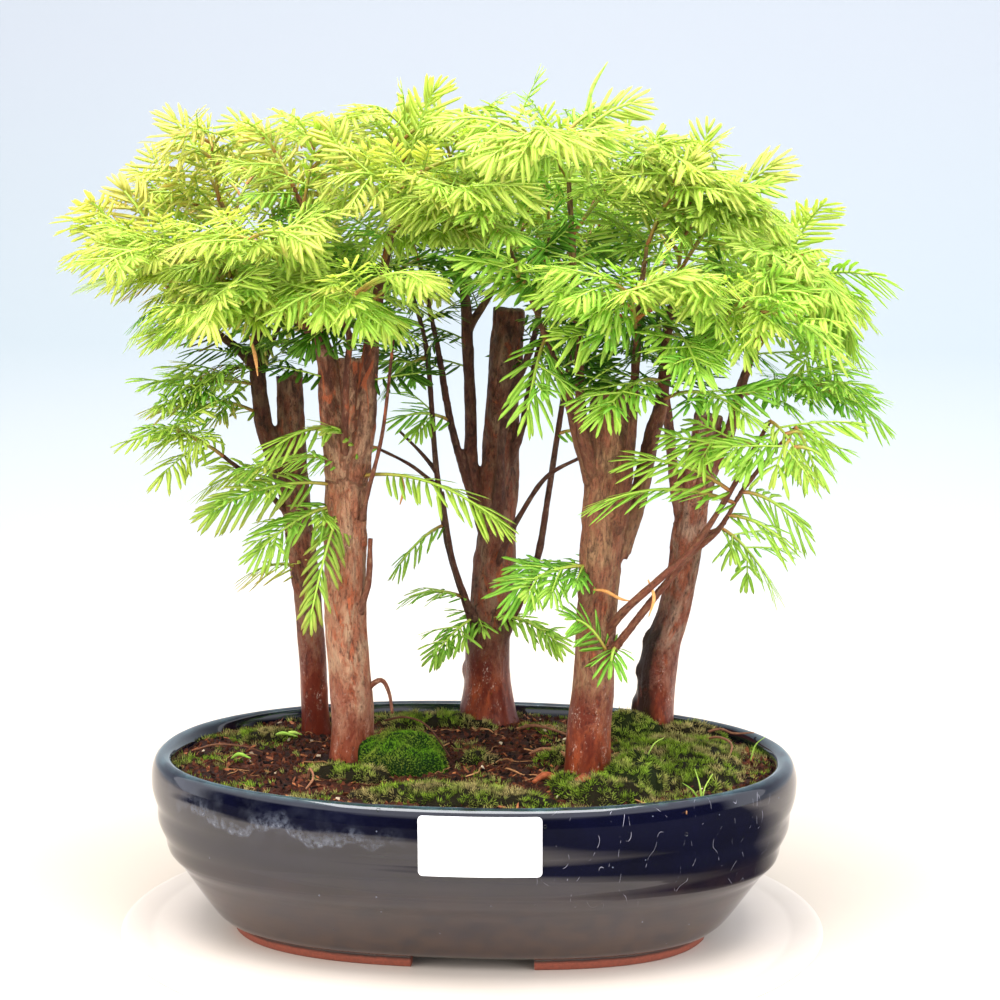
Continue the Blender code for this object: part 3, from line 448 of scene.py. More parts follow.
def settled(model: bpy.types.Object) -> Mesh:
    """Turn an object with its modifiers into a plain mesh, and take the object out.

    Args:
        model: the object.
    Returns:
        Its mesh.
    """
    graph = bpy.context.evaluated_depsgraph_get()
    mesh = bpy.data.meshes.new_from_object(model.evaluated_get(graph), depsgraph=graph)
    model.modifiers.clear()
    bpy.data.objects.remove(model, do_unlink=True)
    return mesh


def turned_outwards(mesh: Mesh) -> Mesh:
    """Turn every face of a closed mesh outwards.

    Args:
        mesh: the mesh, which is changed.
    Returns:
        The same mesh.
    """
    bm = bmesh.new()
    bm.from_mesh(mesh)
    bmesh.ops.recalc_face_normals(bm, faces=bm.faces)
    bm.to_mesh(mesh)
    bm.free()
    return mesh


def mesh_of(name: str, points: Any, faces: Sequence[Sequence[int]], values: Mapping[str, Any] = {}) -> Mesh:
    """Make a smooth mesh from points in millimetres.

    Args:
        name: the mesh's name.
        points: one row of x, y, z for each corner.
        faces: the corners of each face, turned outwards.
        values: named numbers or vectors, one for each corner.
    Returns:
        The mesh, in metres.
    """
    mesh = bpy.data.meshes.new(name)
    places = np.asarray(points, dtype=float) * MM
    mesh.from_pydata(places.tolist(), [], [tuple(face) for face in faces])
    add_values(mesh, values)
    mesh.shade_smooth()
    return mesh


def add_values(mesh: Mesh, values: Mapping[str, Any]) -> None:
    """Give each corner of a mesh named numbers or vectors, which its material reads.

    Args:
        mesh: the mesh.
        values: a row for each corner, under each name.
    """
    for name, rows in values.items():
        rows = np.asarray(rows, dtype=np.float32)
        kind, field = ("FLOAT", "value") if rows.ndim == 1 else ("FLOAT_VECTOR", "vector")
        mesh.attributes.new(name, kind, "POINT").data.foreach_set(field, rows.ravel())


def grown(tree: NodeTree, base: Mesh, inputs: Mapping[str, Any]) -> Mesh:
    """Run a Geometry Nodes tree over a mesh and keep what it makes as a plain mesh.

    Args:
        tree: the node tree.
        base: the mesh that it starts from.
        inputs: the tree's named inputs.
    Returns:
        The new mesh.
    """
    guide = in_scene(base)
    modifier = guide.modifiers.new(tree.name, "NODES")
    modifier.node_group = tree
    for item in tree.interface.items_tree:
        if item.item_type == "SOCKET" and item.in_out == "INPUT" and item.name in inputs:
            modifier[item.identifier] = inputs[item.name]
    return settled(guide)


def new_tree(name: str, sockets: Mapping[str, str]) -> tuple[NodeTree, Any]:
    """Start a Geometry Nodes tree that takes and gives geometry.

    Args:
        name: the tree's name.
        sockets: the type of each further input, under its name.
    Returns:
        The tree, and the outputs of its input node.
    """
    tree = bpy.data.node_groups.new(name, "GeometryNodeTree")
    tree.interface.new_socket("Base", in_out="INPUT", socket_type="NodeSocketGeometry")
    for label, kind in sockets.items():
        tree.interface.new_socket(label, in_out="INPUT", socket_type=kind)
    tree.interface.new_socket("Made", in_out="OUTPUT", socket_type="NodeSocketGeometry")
    return tree, node(tree, "NodeGroupInput").outputs


def add_piece(name: str, mesh: Mesh, replaced: Sequence[str] = ()) -> None:
    """Put a finished mesh in the scene, riding on the forest's one body.

    Args:
        name: the piece's name.
        mesh: its mesh, with its materials.
        replaced: the solids that it stands for.
    """
    piece = in_scene(mesh, name)
    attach(piece, "root")
    if replaced:
        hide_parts(*replaced)
    log.info("%s: %d faces", name, len(mesh.polygons))


def joined(name: str, meshes: Sequence[Mesh]) -> Mesh:
    """Join meshes into one, keeping their materials and named values.

    Args:
        name: the new mesh's name.
        meshes: the meshes to join.
    Returns:
        The joined mesh.
    """
    models = [in_scene(mesh) for mesh in meshes]
    with bpy.context.temp_override(active_object=models[0], selected_editable_objects=models,
                                   selected_objects=models, object=models[0]):
        bpy.ops.object.join()
    whole = models[0].data
    whole.name = name
    bpy.data.objects.remove(models[0], do_unlink=True)
    return whole


def flowing(points: Sequence[Sequence[float]], step: float) -> np.ndarray:
    """Draw a smooth line through points.

    Args:
        points: rows of x, y, z and any further numbers.
        step: about how far apart the new rows are.
    Returns:
        The rows of the smooth line.
    """
    rows = [np.array(point, dtype=float) for point in points]
    rows = [2 * rows[0] - rows[1]] + rows + [2 * rows[-1] - rows[-2]]
    line = []
    for a, b, c, d in zip(rows, rows[1:], rows[2:], rows[3:]):
        count = max(1, round(float(np.linalg.norm((c - b)[:3])) / step))
        for part in np.arange(count) / count:
            line.append(0.5 * (2 * b + (c - a) * part + (2 * a - 5 * b + 4 * c - d) * part ** 2
                               + (3 * b - a - 3 * c + d) * part ** 3))
    line.append(rows[-2])
    return np.array(line)


def frames(line: np.ndarray) -> tuple[np.ndarray, np.ndarray, np.ndarray]:
    """Find how a line runs at each row, without any twist.

    Args:
        line: rows that start with x, y, z.
    Returns:
        The unit vectors ahead, sideways and upwards at each row.
    """
    ahead = np.gradient(line[:, :3], axis=0)
    ahead /= np.linalg.norm(ahead, axis=1)[:, None]
    sides = np.empty_like(ahead)
    side = np.cross(ahead[0], (0.0, 1.0, 0.0) if abs(ahead[0][1]) < 0.8 else (1.0, 0.0, 0.0))
    for row, forward in enumerate(ahead):
        side = side - forward * side.dot(forward)
        side /= np.linalg.norm(side)
        sides[row] = side
    return ahead, sides, np.cross(ahead, sides)


def swell(x: float, y: float, waves: float, layer: float) -> float:
    """Soft noise over the ground, from -1 to 1.

    Args:
        x: the place's x.
        y: the place's y.
        waves: waves a millimetre.
        layer: which noise it is.
    Returns:
        The noise there.
    """
    return noise.noise(Vector((x * waves, y * waves, layer)))


def band_faces(low: int, high: int, sides: int) -> list[Face]:
    """Join two rings of corners, given the first corner of each."""
    after = [*range(1, sides), 0]
    return [(low + at, low + after[at], high + after[at], high + at) for at in range(sides)]


def ring_faces(rings: int, sides: int) -> list[Face]:
    """Join rings of corners into a closed skin with flat ends.

    Args:
        rings: how many rings there are.
        sides: how many corners each has.
    Returns:
        The faces.
    """
    faces: list[Face] = []
    for ring in range(rings - 1):
        faces += band_faces(ring * sides, (ring + 1) * sides, sides)
    faces.append(tuple(range(sides - 1, -1, -1)))
    faces.append(tuple(range((rings - 1) * sides, rings * sides)))
    return faces


def add_skin(points: list, faces: list, corners: Any, skin: Sequence[Face]) -> None:
    """Add one more closed skin to a mesh in the making.

    Args:
        points: the mesh's corners so far.
        faces: its faces so far.
        corners: the skin's corners.
        skin: its faces, counted from its own first corner.
    """
    faces += [tuple(len(points) + corner for corner in face) for face in skin]
    points += [tuple(corner) for corner in corners]


def run_along(line: np.ndarray) -> np.ndarray:
    """How far along a line each of its rows lies."""
    return np.concatenate([[0.0], np.cumsum(np.linalg.norm(np.diff(line[:, :3], axis=0), axis=1))])


def tube(line: np.ndarray, sides: int) -> tuple[np.ndarray, list[Face], np.ndarray]:
    """Wrap a round skin about a line.

    Args:
        line: rows of x, y, z and radius.
        sides: how many corners go round it.
    Returns:
        Its corners, its faces, and each corner's place on the bark: two across and one along.
    """
    _, side, top = frames(line)
    turn = np.arange(sides) * math.tau / sides
    cosine, sine = np.cos(turn)[None, :, None], np.sin(turn)[None, :, None]
    radius = line[:, 3][:, None, None]
    corners = line[:, None, :3] + (side[:, None, :] * cosine + top[:, None, :] * sine) * radius
    run = np.broadcast_to(run_along(line)[:, None, None], (len(line), sides, 1))
    grain = np.concatenate([cosine * radius, sine * radius, run], axis=2)
    return corners.reshape(-1, 3), ring_faces(len(line), sides), grain.reshape(-1, 3)


@dataclass(frozen=True)
class PotForm:
    """The pot's sizes, as its solid has them: half-width and height of each row."""

    foot_width: float = 101.5
    foot_depth: float = 70.0
    foot_inner: float = 92.5
    rim_width: float = 137.5
    rim_depth: float = 102.0
    foot_power: float = 2.6
    rim_power: float = 2.1
    underside: float = 5.0
    outside: tuple = (
        (103.0, 5.0), (109.8, 8.5), (124.0, 27.0), (125.0, 28.6), (130.2, 33.5), (131.6, 39.0),
        (132.4, 40.6), (134.6, 45.5), (135.0, 52.2), (135.7, 53.8), (137.3, 59.0), (137.4, 66.5),
        (135.4, 72.2), (132.6, 74.0))
    inside: tuple = ((129.4, 73.0), (127.4, 69.5), (118.0, 26.0), (100.0, 11.0))

    def share(self, half_width: float) -> float:
        """How far from foot to rim the oval of that half-width lies."""
        return (half_width - self.foot_width) / (self.rim_width - self.foot_width)

    def half_depth(self, half_width: float) -> float:
        """The oval's half-depth where the pot is that wide."""
        return self.foot_depth + self.share(half_width) * (self.rim_depth - self.foot_depth)

    def place(self, half_width: float, angle: float, height: float) -> Point:
        """A point of the pot's oval, rounder at the rim than at the foot.

        Args:
            half_width: the oval's half-width there.
            angle: the turn round the oval, in radians.
            height: the height.
        Returns:
            The point.
        """
        bend = 2.0 / (self.foot_power + self.share(half_width) * (self.rim_power - self.foot_power))
        cosine, sine = math.cos(angle), math.sin(angle)
        return (half_width * math.copysign(abs(cosine) ** bend, cosine),
                self.half_depth(half_width) * math.copysign(abs(sine) ** bend, sine), height)

    def front(self, half_width: float, x: float) -> float:
        """The front wall's y at x where the pot is that wide."""
        share = (1.0 - abs(x / half_width) ** self.rim_power) ** (1.0 / self.rim_power)
        return -self.half_depth(half_width) * share


@dataclass(frozen=True)
class Glaze:
    """Glossy navy-black stoneware glaze over terracotta clay.

    It was dipped and fired, so it is glassy and thin on edges, where the clay greys it.  The
    feet were wiped bare.  Years of hard water left a pale bloom at the left of the front.
    """

    body: str = "#040407"
    blue: str = "#080a20"
    # brown: partly thin glaze, partly a painted reflection of the floor low on the wall
    brown: str = "#3c291e"
    thin: str = "#3a5056"
    bloom: str = "#7b8393"
    scratch: str = "#b3b1bd"
    clay: str = "#8b4531"
    line: str = "#35201a"

    def make(self) -> Material:
        """Build the glaze's material.

        Returns:
            The material.
        """
        material, tree, shader = bare_finish("navy stoneware glaze")
        place = node(tree, "ShaderNodeTexCoord").outputs["Object"]
        x, y, z = node(tree, "ShaderNodeSeparateXYZ", {0: place}).outputs
        # Waves a metre, detail, and how much each cloud is drawn out upwards
        clouds = {}
        for name, (scale, detail, flat) in {
                "pools": (40.0, 3.0, 1.0), "lip": (70.0, 5.0, 1.0), "wave": (38.0, 3.0, 0.1),
                "crust": (380.0, 6.0, 1.0), "haze": (120.0, 8.0, 1.0), "curl": (95.0, 1.0, 0.45),
                "dashes": (210.0, 2.0, 1.0), "clay": (900.0, 4.0, 1.0), "edge": (160.0, 2.0, 1.0),
                "ripples": (8.0, 2.0, 19.0)}.items():
            way = node(tree, "ShaderNodeMapping", {"Vector": place, "Scale": (1.0, 1.0, flat)})
            clouds[name] = node(tree, "ShaderNodeTexNoise", {
                "Vector": way, "Scale": scale, "Detail": detail, "Roughness": 0.62})
        # The glaze breaks grey on the lip. Low on the wall it turns brown: partly thin glaze, partly a
        # painted reflection of the cream floor
        front = Band(y, -0.020, -0.050)
        lip = shown(tree, Band(z, 0.0722, 0.0740), Band(clouds["lip"], 0.34, 0.66))
        low = shown(tree, Band(z, 0.046, 0.010), Band(clouds["haze"], 0.2, 0.6, 0.9))
        # Lime left by hard water: a wavy line 59 mm up, hazy above it, on the left of the front
        wave = node(tree, "ShaderNodeMath", {0: clouds["wave"], 1: -0.026, 2: z}, operation="MULTIPLY_ADD")
        limed = shown(tree, Band(wave, 0.0450, 0.0462), Band(wave, 0.0530, 0.0462), front,
                      Band(clouds["crust"], 0.40, 0.64, 0.38), Band(x, -0.014, -0.036),
                      Band(x, -0.122, -0.104))
        haze = shown(tree, Band(clouds["haze"], 0.44, 0.70, 0.08), front, Band(z, 0.048, 0.062),
                     Band(z, 0.074, 0.068), Band(x, -0.020, -0.080))
        # Fine scratches at the right of the front
        away = node(tree, "ShaderNodeMath", {0: clouds["curl"], 1: 0.5}, operation="SUBTRACT")
        near = node(tree, "ShaderNodeMath", {0: away}, operation="ABSOLUTE")
        scored = shown(tree, Band(near, 0.0030, 0.0008), Band(clouds["dashes"], 0.52, 0.60, 0.6), front,
                       Band(x, 0.030, 0.050), Band(z, 0.030, 0.045))
        # Pinholes a millimetre wide, and specks of dust
        pits = node(tree, "ShaderNodeTexVoronoi", {"Vector": place, "Scale": 75.0}).outputs
        chosen = node(tree, "ShaderNodeSeparateColor", {0: pits["Color"]}).outputs
        hole = shown(tree, Band(pits["Distance"], 0.060, 0.045), Band(chosen[0], 0.80, 0.81))
        specks = node(tree, "ShaderNodeTexVoronoi", {"Vector": place, "Scale": 190.0}).outputs
        picked = node(tree, "ShaderNodeSeparateColor", {0: specks["Color"]}).outputs
        dust = shown(tree, Band(specks["Distance"], 0.075, 0.045), Band(picked[1], 0.86, 0.87, 0.5))
        # Cobalt pools in soft clouds about 25 mm across under all of these
        colour = painted(tree, self.body, (
            (clouds["pools"], self.blue), (lip, self.thin), (low, self.brown), (limed, self.bloom),
            (haze, self.bloom), (scored, self.scratch), (dust, self.bloom)))
        # Bare clay on the feet, with a dark line where the glaze stops
        uneven = node(tree, "ShaderNodeMath", {0: clouds["edge"], 1: -0.0012, 2: z},
                      operation="MULTIPLY_ADD")
        glazed = shown(tree, Band(uneven, 0.0036, 0.0042))
        whole = painted(tree, self.clay, (
            (shown(tree, Band(clouds["clay"], 0.3, 0.9, 0.6)), self.line),
            (shown(tree, Band(uneven, 0.0024, 0.0036)), self.line), (glazed, colour)))
        dull = node(tree, "ShaderNodeMath", {0: limed, 1: haze}, operation="ADD")
        gloss = node(tree, "ShaderNodeMapRange", {"Value": dull, "To Min": 0.07, "To Max": 0.7})
        matt = node(tree, "ShaderNodeMix", {0: glazed, 2: 0.85, 3: gloss})
        # Throwing ripples 6 mm apart under the glass
        bump = node(tree, "ShaderNodeBump", {"Strength": 0.3, "Distance": 0.0006,
                                             "Height": clouds["ripples"]})
        bump = node(tree, "ShaderNodeBump", {"Strength": 0.8, "Distance": 0.0006, "Height": hole,
                                             "Normal": bump}, invert=True)
        feed(tree, shader, {"Base Color": whole, "Roughness": matt, "Normal": bump, "IOR": 1.66})
        return material


@dataclass
class Pot:
    """The oval pot: ringed wall, rolled rim, four feet and two drain holes."""

    form: PotForm
    glaze: Glaze
    sides: int = 208
    wander: float = 0.25
    gap_x: float = 50.0
    gap_centre: float = 7.0
    gap_y: float = 44.0
    drain_x: float = 48.0
    drain_radius: float = 7.0
    drain_top: float = 16.0
    drain_sides: int = 32
    foot_steps: int = 26

    def wall(self) -> Mesh:
        """Loft the wall and the floor, a little uneven as a hand-finished pot is.

        Returns:
            The wall's mesh.
        """
        outside = flowing([(a, 0.0, z) for a, z in self.form.outside], 2.2)
        inside = flowing([(a, 0.0, z) for a, z in (self.form.outside[-1],) + self.form.inside[:2]], 1.2)
        profile = [(60.0, self.form.underside), (self.form.foot_inner, self.form.underside)]
        profile += [(row[0], row[2]) for row in outside]
        profile += [(row[0], row[2]) for row in inside[1:]]
        profile += list(self.form.inside[2:]) + [(60.0, self.form.inside[-1][1])]
        rows = []
        for half_width, height in profile:
            for step in range(self.sides):
                x, y, z = self.form.place(half_width, math.tau * step / self.sides, height)
                bulge = noise.noise(Vector((x * 0.02, y * 0.02, z * 0.09))) * self.wander
                bulge *= min(1.0, max(0.0, (z - 8.0) / 6.0))
                rows.append((x * (1.0 + bulge / 130.0), y * (1.0 + bulge / 100.0), z))
        return mesh_of("pot wall", rows, ring_faces(len(profile), self.sides))

    def feet(self) -> Mesh:
        """Make the four arcs of the foot ring, each sunk a little into the underside.

        Returns:
            The mesh of all four.
        """
        inner, outer = self.form.foot_inner, self.form.foot_width
        section = ((inner, 5.4), (inner, 4.4), (inner + 0.9, 0.4), (inner + 1.6, 0.0),
                   (outer - 0.9, 0.0), (outer - 0.2, 0.5), (outer + 1.2, 4.6), (outer + 1.0, 5.4))
        points, faces = [], []
        arc = ring_faces(self.foot_steps + 1, len(section))
        for sign_x, sign_y in ((1, 1), (-1, 1), (-1, -1), (1, -1)):
            corners = []
            limit = self.gap_x / 2 + sign_x * self.gap_centre
            ends = [(self.crossing(a, 1, self.gap_y / 2), self.crossing(a, 0, limit)) for a, _ in section]
            for step in range(self.foot_steps + 1):
                share = step / self.foot_steps
                for (half_width, height), (low, high) in zip(section, ends):
                    angle = low + (high - low) * share
                    x, y, z = self.form.place(half_width, angle, height)
                    corners.append((sign_x * x, sign_y * y, z))
            add_skin(points, faces, corners, [face[::-sign_x * sign_y] for face in arc])
        return mesh_of("pot feet", points, faces)

    def crossing(self, half_width: float, axis: int, limit: float) -> float:
        """The turn in the first quarter at which the oval reaches a gap's side.

        Args:
            half_width: the oval's half-width.
            axis: 0 for a gap's side in x, 1 for one in y.
            limit: where that side is.
        Returns:
            The angle in radians.
        """
        low, high = 0.0, math.pi / 2
        for _ in range(30):
            middle = (low + high) / 2
            past = self.form.place(half_width, middle, 0.0)[axis] > limit
            if past == (axis == 0):
                low = middle
            else:
                high = middle
        return low

    def build(self) -> None:
        """Make the pot and put it over its solid."""
        body = self.wall()
        for side in (-1, 1):
            turn = np.arange(self.drain_sides) * math.tau / self.drain_sides
            rows = [(side * self.drain_x + self.drain_radius * math.cos(t),
                     self.drain_radius * math.sin(t), z) for z in (0.0, self.drain_top) for t in turn]
            cutter = in_scene(mesh_of("drain hole", rows, ring_faces(2, self.drain_sides)))
            pot = in_scene(body)
            cut = pot.modifiers.new("Drain", "BOOLEAN")
            cut.operation, cut.solver, cut.object = "DIFFERENCE", "EXACT", cutter
            body = settled(pot)
            bpy.data.objects.remove(cutter, do_unlink=True)
        whole = joined("glazed pot", [body, self.feet()])
        whole.materials.clear()
        whole.materials.append(self.glaze.make())
        whole.shade_smooth()
        whole.set_sharp_from_angle(angle=math.radians(55.0))
        add_piece("glazed_pot", whole, ["pot"])


@dataclass(frozen=True)
class Earth:
    """Damp potting soil of peat and composted bark, nearly black where it is wet."""

    wet: str = "#120704"
    dry: str = "#3e1c10"
    chip: str = "#74402a"

    def make(self) -> Material:
        """Build the soil's material.

        Returns:
            The material.
        """
        material, tree, shader = bare_finish("peat and bark soil")
        place = node(tree, "ShaderNodeTexCoord").outputs["Object"]
        # Clods 4 mm across in wet patches 20 mm across
        patch = node(tree, "ShaderNodeTexNoise", {"Vector": place, "Scale": 50.0, "Detail": 3.0})
        clod = node(tree, "ShaderNodeTexNoise", {"Vector": place, "Scale": 420.0, "Detail": 6.0,
                                                 "Roughness": 0.7})
        mixed = node(tree, "ShaderNodeMath", {0: patch, 1: clod}, operation="MULTIPLY")
        ramp = node(tree, "ShaderNodeValToRGB", {0: mixed}, stops=(
            (0.14, self.wet), (0.34, self.dry), (0.48, self.chip)))
        bump = node(tree, "ShaderNodeBump", {"Strength": 1.0, "Distance": 0.0012, "Height": clod})
        feed(tree, shader, {"Base Color": ramp, "Normal": bump, "Roughness": 0.78,
                            "Specular IOR Level": 0.2})
        return material


@dataclass(frozen=True)
class Litter:
    """One kind of small thing that lies on the soil, coloured between two shades."""

    name: str
    dark: str
    light: str
    roughness: float = 0.8

    def make(self) -> Material:
        """Build the litter's material, with a shade of its own on each bit.

        Returns:
            The material.
        """
        material, tree, shader = bare_finish(self.name)
        place = node(tree, "ShaderNodeTexCoord").outputs["Object"]
        own = node(tree, "ShaderNodeAttribute", attribute_name="shade").outputs["Fac"]
        grit = node(tree, "ShaderNodeTexNoise", {"Vector": place, "Scale": 700.0, "Detail": 4.0})
        both = node(tree, "ShaderNodeMath", {0: own, 1: grit}, operation="MULTIPLY")
        ramp = node(tree, "ShaderNodeValToRGB", {0: both}, stops=((0.05, self.dark), (0.6, self.light)))
        bump = node(tree, "ShaderNodeBump", {"Strength": 0.8, "Distance": 0.0005, "Height": grit})
        feed(tree, shader, {"Base Color": ramp, "Normal": bump,
                            "Roughness": self.roughness, "Specular IOR Level": 0.2})
        return material


def strewing() -> NodeTree:
    """Build the Geometry Nodes that strew a small piece over the ground.

    Returns:
        The node tree.
    """
    tree, given = new_tree("Strewn pieces", {
        "Piece": "NodeSocketObject", "Gap": "NodeSocketFloat", "Most per area": "NodeSocketFloat",
        "Smallest": "NodeSocketVector", "Largest": "NodeSocketVector", "Lean": "NodeSocketFloat",
        "Seed": "NodeSocketInt", "Keep ground": "NodeSocketBool", "Finish": "NodeSocketMaterial"})
    room = node(tree, "GeometryNodeInputNamedAttribute", {0: "room"}, data_type="FLOAT")
    spots = node(tree, "GeometryNodeDistributePointsOnFaces", {
        "Mesh": given["Base"], "Distance Min": given["Gap"], "Density Max": given["Most per area"],
        "Density Factor": room, "Seed": given["Seed"]}, distribute_method="POISSON").outputs
    back = node(tree, "ShaderNodeMath", {0: given["Lean"], 1: -1.0}, operation="MULTIPLY")
    low = node(tree, "ShaderNodeCombineXYZ", {0: back, 1: back, 2: -math.pi})
    high = node(tree, "ShaderNodeCombineXYZ", {0: given["Lean"], 1: given["Lean"], 2: math.pi})
    turn = node(tree, "FunctionNodeRandomValue", {0: low, 1: high, 8: given["Seed"]},
                data_type="FLOAT_VECTOR")
    turned = node(tree, "FunctionNodeRotateRotation", {
        0: spots["Rotation"], 1: node(tree, "FunctionNodeEulerToRotation", {0: turn})},
        rotation_space="LOCAL")
    other = node(tree, "ShaderNodeMath", {0: given["Seed"], 1: 100.0}, operation="ADD")
    size = node(tree, "FunctionNodeRandomValue", {0: given["Smallest"], 1: given["Largest"], 8: other},
                data_type="FLOAT_VECTOR")
    model = node(tree, "GeometryNodeObjectInfo", {0: given["Piece"]}).outputs["Geometry"]
    bits = node(tree, "GeometryNodeInstanceOnPoints", {
        "Points": spots["Points"], "Instance": model, "Rotation": turned, "Scale": size})
    own = node(tree, "FunctionNodeRandomValue", {2: 0.0, 3: 1.0, 8: given["Seed"]},
               data_type="FLOAT").outputs[1]
    shaded = node(tree, "GeometryNodeStoreNamedAttribute", {"Geometry": bits, "Name": "shade", "Value": own},
                  data_type="FLOAT", domain="INSTANCE")
    ground = node(tree, "GeometryNodeSwitch", {0: given["Keep ground"], 2: given["Base"]},
                  input_type="GEOMETRY")
    both = node(tree, "GeometryNodeJoinGeometry")
    for part in (shaded, ground):
        feed(tree, both, {0: part})
    real = node(tree, "GeometryNodeRealizeInstances", {0: both})
    done = node(tree, "GeometryNodeSetMaterial", {0: real, 2: given["Finish"]})
    node(tree, "NodeGroupOutput", {0: done})
    return tree


@dataclass(frozen=True)
class Strewn:
    """How one kind of small thing lies: its model, its spacing, its sizes and its tilt."""

    model: Mesh
    gap: float
    per_area: float
    smallest: tuple
    largest: tuple
    lean: float
    seed: int

    def over(self, tree: NodeTree, ground: Mesh, finish: Material, keep_ground: bool = False) -> Mesh:
        """Strew it over the ground.

        Args:
            tree: the strewing nodes.
            ground: the mesh that it lies on, with a value named room from 0 to 1.
            finish: its material.
            keep_ground: whether the ground is part of the result.
        Returns:
            The mesh of every bit.
        """
        model = in_scene(self.model)
        mesh = grown(tree, ground, {
            "Piece": model, "Gap": self.gap * MM, "Most per area": self.per_area / MM ** 2,
            "Smallest": self.smallest, "Largest": self.largest, "Lean": self.lean,
            "Seed": self.seed, "Keep ground": keep_ground, "Finish": finish})
        bpy.data.objects.remove(model, do_unlink=True)
        return mesh


def tuft_model(blades: int, width: float, splay: float, seed: int) -> Mesh:
    """Make one tuft, a millimetre high, of three-sided blades that lean out from its foot.

    Args:
        blades: how many blades it has.
        width: how wide a blade's foot is.
        splay: how far the tips spread.
        seed: for the blades' unevenness.
    Returns:
        The tuft's mesh.
    """
    rng = random.Random(seed)
    points, faces, along = [], [], []
    for blade in range(blades):
        turn = math.tau * (blade + rng.uniform(-0.3, 0.3)) / blades
        out = Vector((math.cos(turn), math.sin(turn), 0.0))
        across = Vector((-out.y, out.x, 0.0))
        reach = rng.uniform(0.5, 1.0) * splay
        tip = out * reach + UP * rng.uniform(0.65, 1.0)
        foot = out * 0.05 - UP * 0.25
        add_skin(points, faces, (foot + across * width, foot - across * width,
                                 foot + out * width * 1.2, tip), ((0, 1, 2), (0, 3, 1), (1, 3, 2), (2, 3, 0)))
        along += [0.0, 0.0, 0.0, 1.0]
    return mesh_of("tuft", points, faces, {"along": along})


def stone_model(seed: int, flat: float = 0.75) -> Mesh:
    """Make one crumb a millimetre across, an uneven lump of twenty faces.

    Args:
        seed: for its unevenness.
        flat: its height as a share of its width.
    Returns:
        The crumb's mesh.
    """
    bm = bmesh.new()
    bmesh.ops.create_icosphere(bm, subdivisions=1, radius=0.5 * MM)
    rng = random.Random(seed)
    for vert in bm.verts:
        vert.co *= rng.uniform(0.7, 1.2)
        vert.co.z *= flat
    mesh = bpy.data.meshes.new("crumb")
    bm.to_mesh(mesh)
    bm.free()
    return mesh


